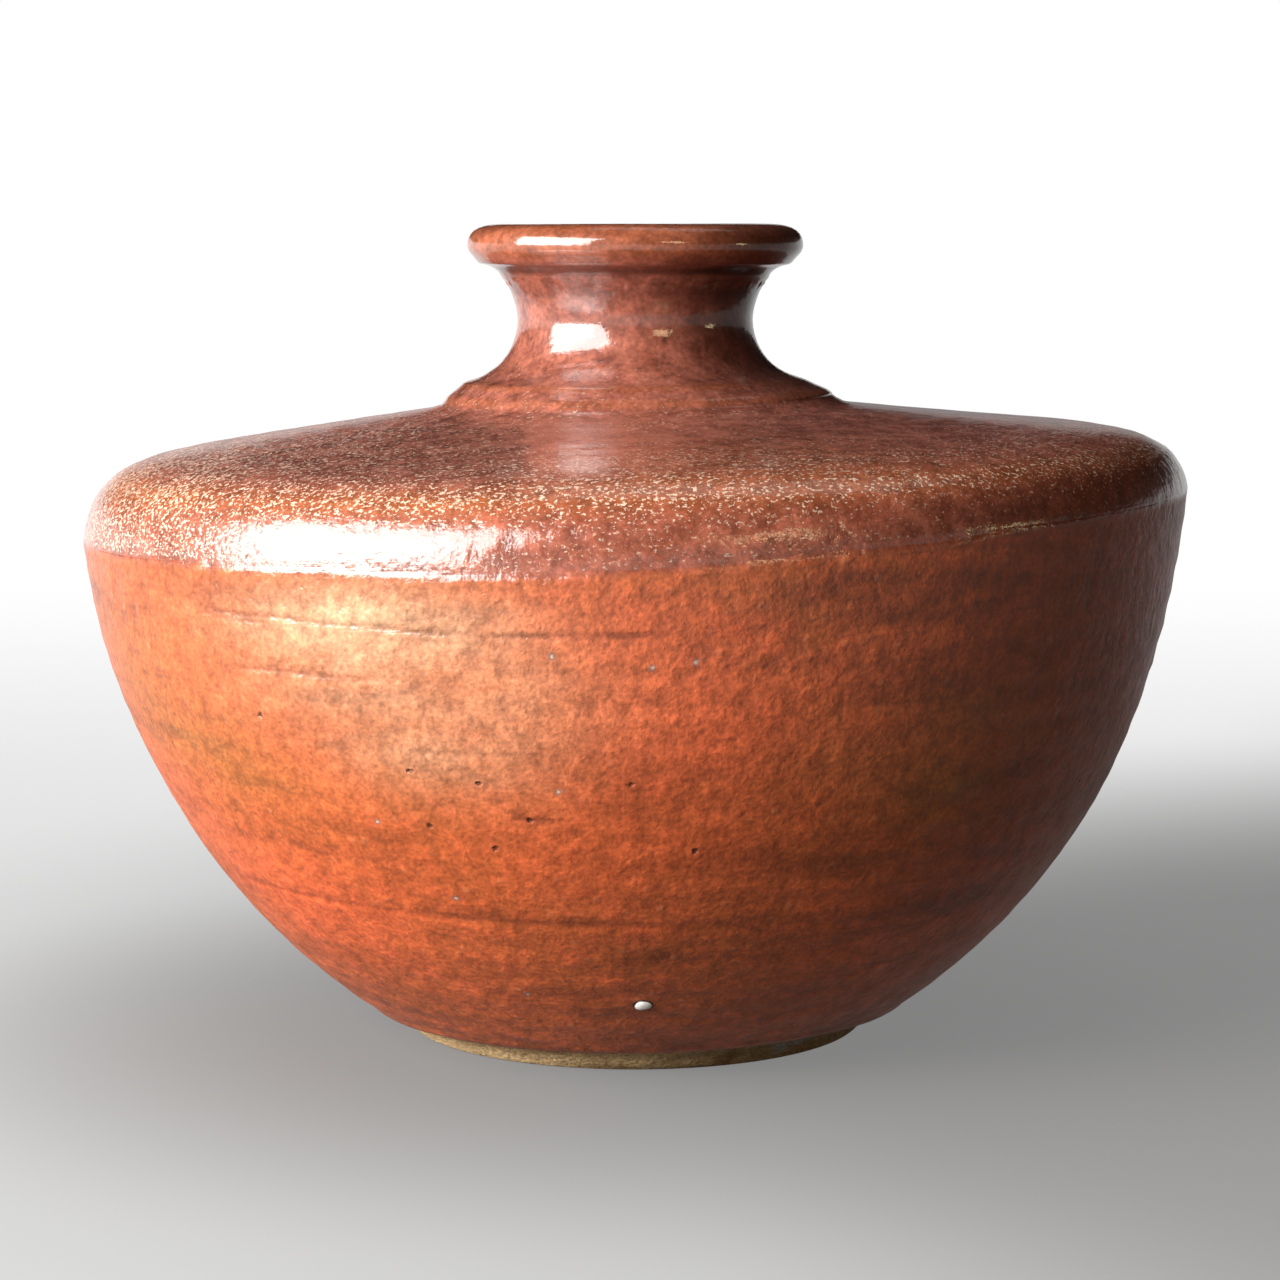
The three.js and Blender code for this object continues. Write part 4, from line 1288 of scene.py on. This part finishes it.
class VASE_OT_studio(bpy.types.Operator):
    """Stands the vase on a pale floor, lit from the left by a softbox, in front of the camera"""

    bl_idname = "vase.studio"
    bl_label = "Studio"

    # Lamps: azimuth from the camera and elevation in degrees, distance, width, height, power, colour.
    # The core stands in the large softbox, and two small warm ones give the glints on the right
    LAMPS = {
        "key_softbox": (-60, 24, 1.3, 1.42, 0.95, "key_watts", "FFFFFF"),
        "key_core": (-60, 17, 1.28, 0.8, 0.36, "core_watts", "FFFFFF"),
        "warm_lamp": (25, 21, 0.8, 0.2, 0.1, "warm_watts", "FFD9A8"),
        "right_card": (76, 8, 1.2, 0.18, 0.08, "card_watts", "FFE9B0"),
        "back_softbox": (165, 65, 1.6, 0.9, 0.6, "back_watts", "FFFFFF"),
    }
    AIM = Vector((0.0, 0.0, 0.09))
    WHITE = (1.0, 1.0, 1.0, 1.0)
    SENSOR_WIDTH = 36.0

    FLOOR_RADIUS, FLOOR_BEND, WALL_HEIGHT, INNERMOST = 5.0, 0.5, 0.6, 0.05
    FLOOR_ROWS, BEND_ROWS, FLOOR_COLUMNS = 24, 12, 96

    # How white the floor is, as a share: at the front and behind, where it is plain white
    CLEARING = {LOW: 0.0, HIGH: 1.0, TO_LOW: 0.7, TO_HIGH: 1.0}
    # Its shadows, painted by a lower white share where the paper's own shadow also falls: towards the right,
    # beside the vase there, and round the foot, from the share in them
    RIGHTWARDS, BESIDE = (0.985, -0.174, 0.0), (0.16, 0.04, 0.0)
    RIGHT_SHADE = {LOW: 0.8, HIGH: 0.2, TO_LOW: 0.3}
    BESIDE_SHADE = {LOW: 0.08, HIGH: 0.42, TO_LOW: 0.25}
    FOOT_SHADE = {LOW: 0.045, HIGH: 0.2, TO_LOW: 0.22}

    def execute(self, context):
        scene = context.scene
        studio = scene.vase_studio
        self.floor(scene, studio)
        for name in self.LAMPS:
            self.softbox(scene, studio, name)
        world = bpy.data.worlds.new("soft_room")
        world.use_nodes = True
        world.node_tree.nodes["Background"].inputs["Color"].default_value = self.WHITE
        world.node_tree.nodes["Background"].inputs["Strength"].default_value = studio.world_level
        scene.world = world
        camera = bpy.data.cameras.new("photo_camera")
        camera.lens = studio.camera_lens
        camera.sensor_width = self.SENSOR_WIDTH
        viewer = bpy.data.objects.new("photo_camera", camera)
        viewer.location = (0.0, -studio.camera_distance, studio.camera_height)
        viewer.rotation_euler = (UP - studio.camera_pitch, 0.0, studio.camera_yaw)
        scene.collection.objects.link(viewer)
        scene.camera = viewer
        scene.view_settings.view_transform = "Standard"
        return {"FINISHED"}

    def floor(self, scene, studio):
        """The floor and a low wall round it: a profile that runs out level, turns up by a quarter circle and
        rises, carried round the axis, with its faces towards the vase."""
        bend_start = self.FLOOR_RADIUS - self.FLOOR_BEND
        corner = np.linspace(-np.pi / 2, 0, self.BEND_ROWS)
        turned = np.column_stack((np.cos(corner), 1 + np.sin(corner))) * self.FLOOR_BEND + (bend_start, 0.0)
        radii = np.geomspace(self.INNERMOST, bend_start, self.FLOOR_ROWS)
        level = np.column_stack((radii, np.zeros_like(radii)))
        profile = joined((0.0, 0.0), level, turned, (self.FLOOR_RADIUS, self.WALL_HEIGHT))
        angles = angles_round(self.FLOOR_COLUMNS)
        radius, height = profile.T[..., None]
        grid = np.stack(np.broadcast_arrays(
            radius * np.sin(angles), -radius * np.cos(angles), height
        ), axis=-1)
        rows, columns = grid.shape[:2]
        index = np.arange(rows * columns).reshape(rows, columns)
        following = np.roll(index, -1, axis=1)
        faces = np.stack((index[1:-1], index[2:], following[2:], following[1:-1]), axis=-1).reshape(-1, 4)
        fan = np.stack((np.zeros(columns, int), index[1], following[1]), axis=-1)
        mesh = bpy.data.meshes.new("pale_floor")
        mesh.from_pydata(grid.reshape(-1, 3).tolist(), [], faces.tolist() + fan.tolist())
        mesh.shade_smooth()
        floor = bpy.data.objects.new("pale_floor", mesh)
        scene.collection.objects.link(floor)
        mesh.materials.append(self.floor_paper(studio))
        return floor

    def floor_paper(self, studio):
        """Matt paper: white behind the vase, for the camera and for what the vase mirrors, pale in front and
        on the left, and darker to the right and round the foot: a painted shadow there, over the paper's own
        shadow."""
        material = bpy.data.materials.new("floor_paper")
        material.use_nodes = True
        tree = material.node_tree
        tree.nodes.clear()
        paper = node(tree, "ShaderNodeBsdfDiffuse", {}, {"Color": (*studio.floor_colour, 1.0)})
        clear = node(tree, "ShaderNodeEmission", {}, {"Color": self.WHITE, "Strength": 1.0})
        place = node(tree, "ShaderNodeTexCoord", {}, {}).outputs["Object"]
        depth = node(tree, "ShaderNodeSeparateXYZ", {}, {"Vector": place}).outputs["Y"]
        share = node(tree, "ShaderNodeMapRange", SMOOTH, {"Value": depth, **self.CLEARING})
        bearing = node(tree, "ShaderNodeVectorMath", {"operation": "NORMALIZE"}, {0: place}).outputs["Vector"]
        for measure, inputs, shade in (
            ("DOT_PRODUCT", {0: bearing, 1: self.RIGHTWARDS}, self.RIGHT_SHADE),
            ("DISTANCE", {0: place, 1: self.BESIDE}, self.BESIDE_SHADE),
            ("LENGTH", {0: place}, self.FOOT_SHADE),
        ):
            measured = node(tree, "ShaderNodeVectorMath", {"operation": measure}, inputs)
            share = node(tree, "ShaderNodeMapRange", SMOOTH, {
                "Value": measured.outputs["Value"], **shade, TO_HIGH: share.outputs["Result"],
            })
        rays = node(tree, "ShaderNodeLightPath", {}, {})
        seen = rays.outputs["Is Camera Ray"]
        for ray in ("Is Glossy Ray", "Is Transmission Ray"):
            seen = node(tree, "ShaderNodeMath", {**PLUS, "use_clamp": True}, {0: seen, 1: rays.outputs[ray]})
            seen = seen.outputs[0]
        share = node(tree, "ShaderNodeMath", TIMES, {0: share.outputs["Result"], 1: seen})
        mix = node(tree, "ShaderNodeMixShader", {}, {
            0: share.outputs[0], 1: paper.outputs["BSDF"], 2: clear.outputs["Emission"],
        })
        node(tree, "ShaderNodeOutputMaterial", {}, {"Surface": mix.outputs["Shader"]})
        return material

    def softbox(self, scene, studio, name):
        """A lamp with an even face, at an azimuth from the camera, an elevation and a distance from its
        aim."""
        azimuth, elevation, distance, width, height, watts, hex_colour = self.LAMPS[name]
        turn, rise = np.radians((azimuth, elevation))
        away = Vector((np.sin(turn) * np.cos(rise), -np.cos(turn) * np.cos(rise), np.sin(rise)))
        lamp = bpy.data.lights.new(name, "AREA")
        lamp.shape = "RECTANGLE"
        lamp.size = width
        lamp.size_y = height
        lamp.energy = getattr(studio, watts)
        lamp.color = tuple(linear(hex_colour))
        holder = bpy.data.objects.new(name, lamp)
        holder.location = self.AIM + away * distance
        holder.rotation_euler = away.to_track_quat("Z", "Y").to_euler()
        holder.visible_camera = False
        scene.collection.objects.link(holder)


class VASE_PT_sidebar(bpy.types.Panel):
    """The steps in order, and the sizes and colours they use"""

    bl_label = "Stoneware vase"
    bl_idname = "VASE_PT_sidebar"
    bl_space_type = "VIEW_3D"
    bl_region_type = "UI"
    bl_category = "Vase"

    def draw(self, context):
        for step in STEPS:
            self.layout.operator(step.bl_idname)
        for group_name in GROUPS:
            group = getattr(context.scene, group_name)
            box = self.layout.box()
            for key in group.__annotations__:
                box.prop(group, key)


STEPS = (
    VASE_OT_clay_sections, VASE_OT_slip_joints, VASE_OT_iron_glaze, VASE_OT_liner_glaze,
    VASE_OT_feldspar_fleck, VASE_OT_studio,
)


def register():
    for group_name, group in GROUPS.items():
        bpy.utils.register_class(group)
        setattr(bpy.types.Scene, group_name, bpy.props.PointerProperty(type=group))
    for kind in (*STEPS, VASE_PT_sidebar):
        bpy.utils.register_class(kind)


def unregister():
    for kind in (VASE_PT_sidebar, *reversed(STEPS)):
        bpy.utils.unregister_class(kind)
    for group_name, group in GROUPS.items():
        delattr(bpy.types.Scene, group_name)
        bpy.utils.unregister_class(group)


def main():
    register()
    bpy.ops.vase.clay_sections()
    bpy.ops.vase.slip_joints()
    bpy.ops.vase.iron_glaze()
    bpy.ops.vase.liner_glaze()
    bpy.ops.vase.feldspar_fleck()
    bpy.ops.vase.studio()


if __name__ == "__main__":
    main()
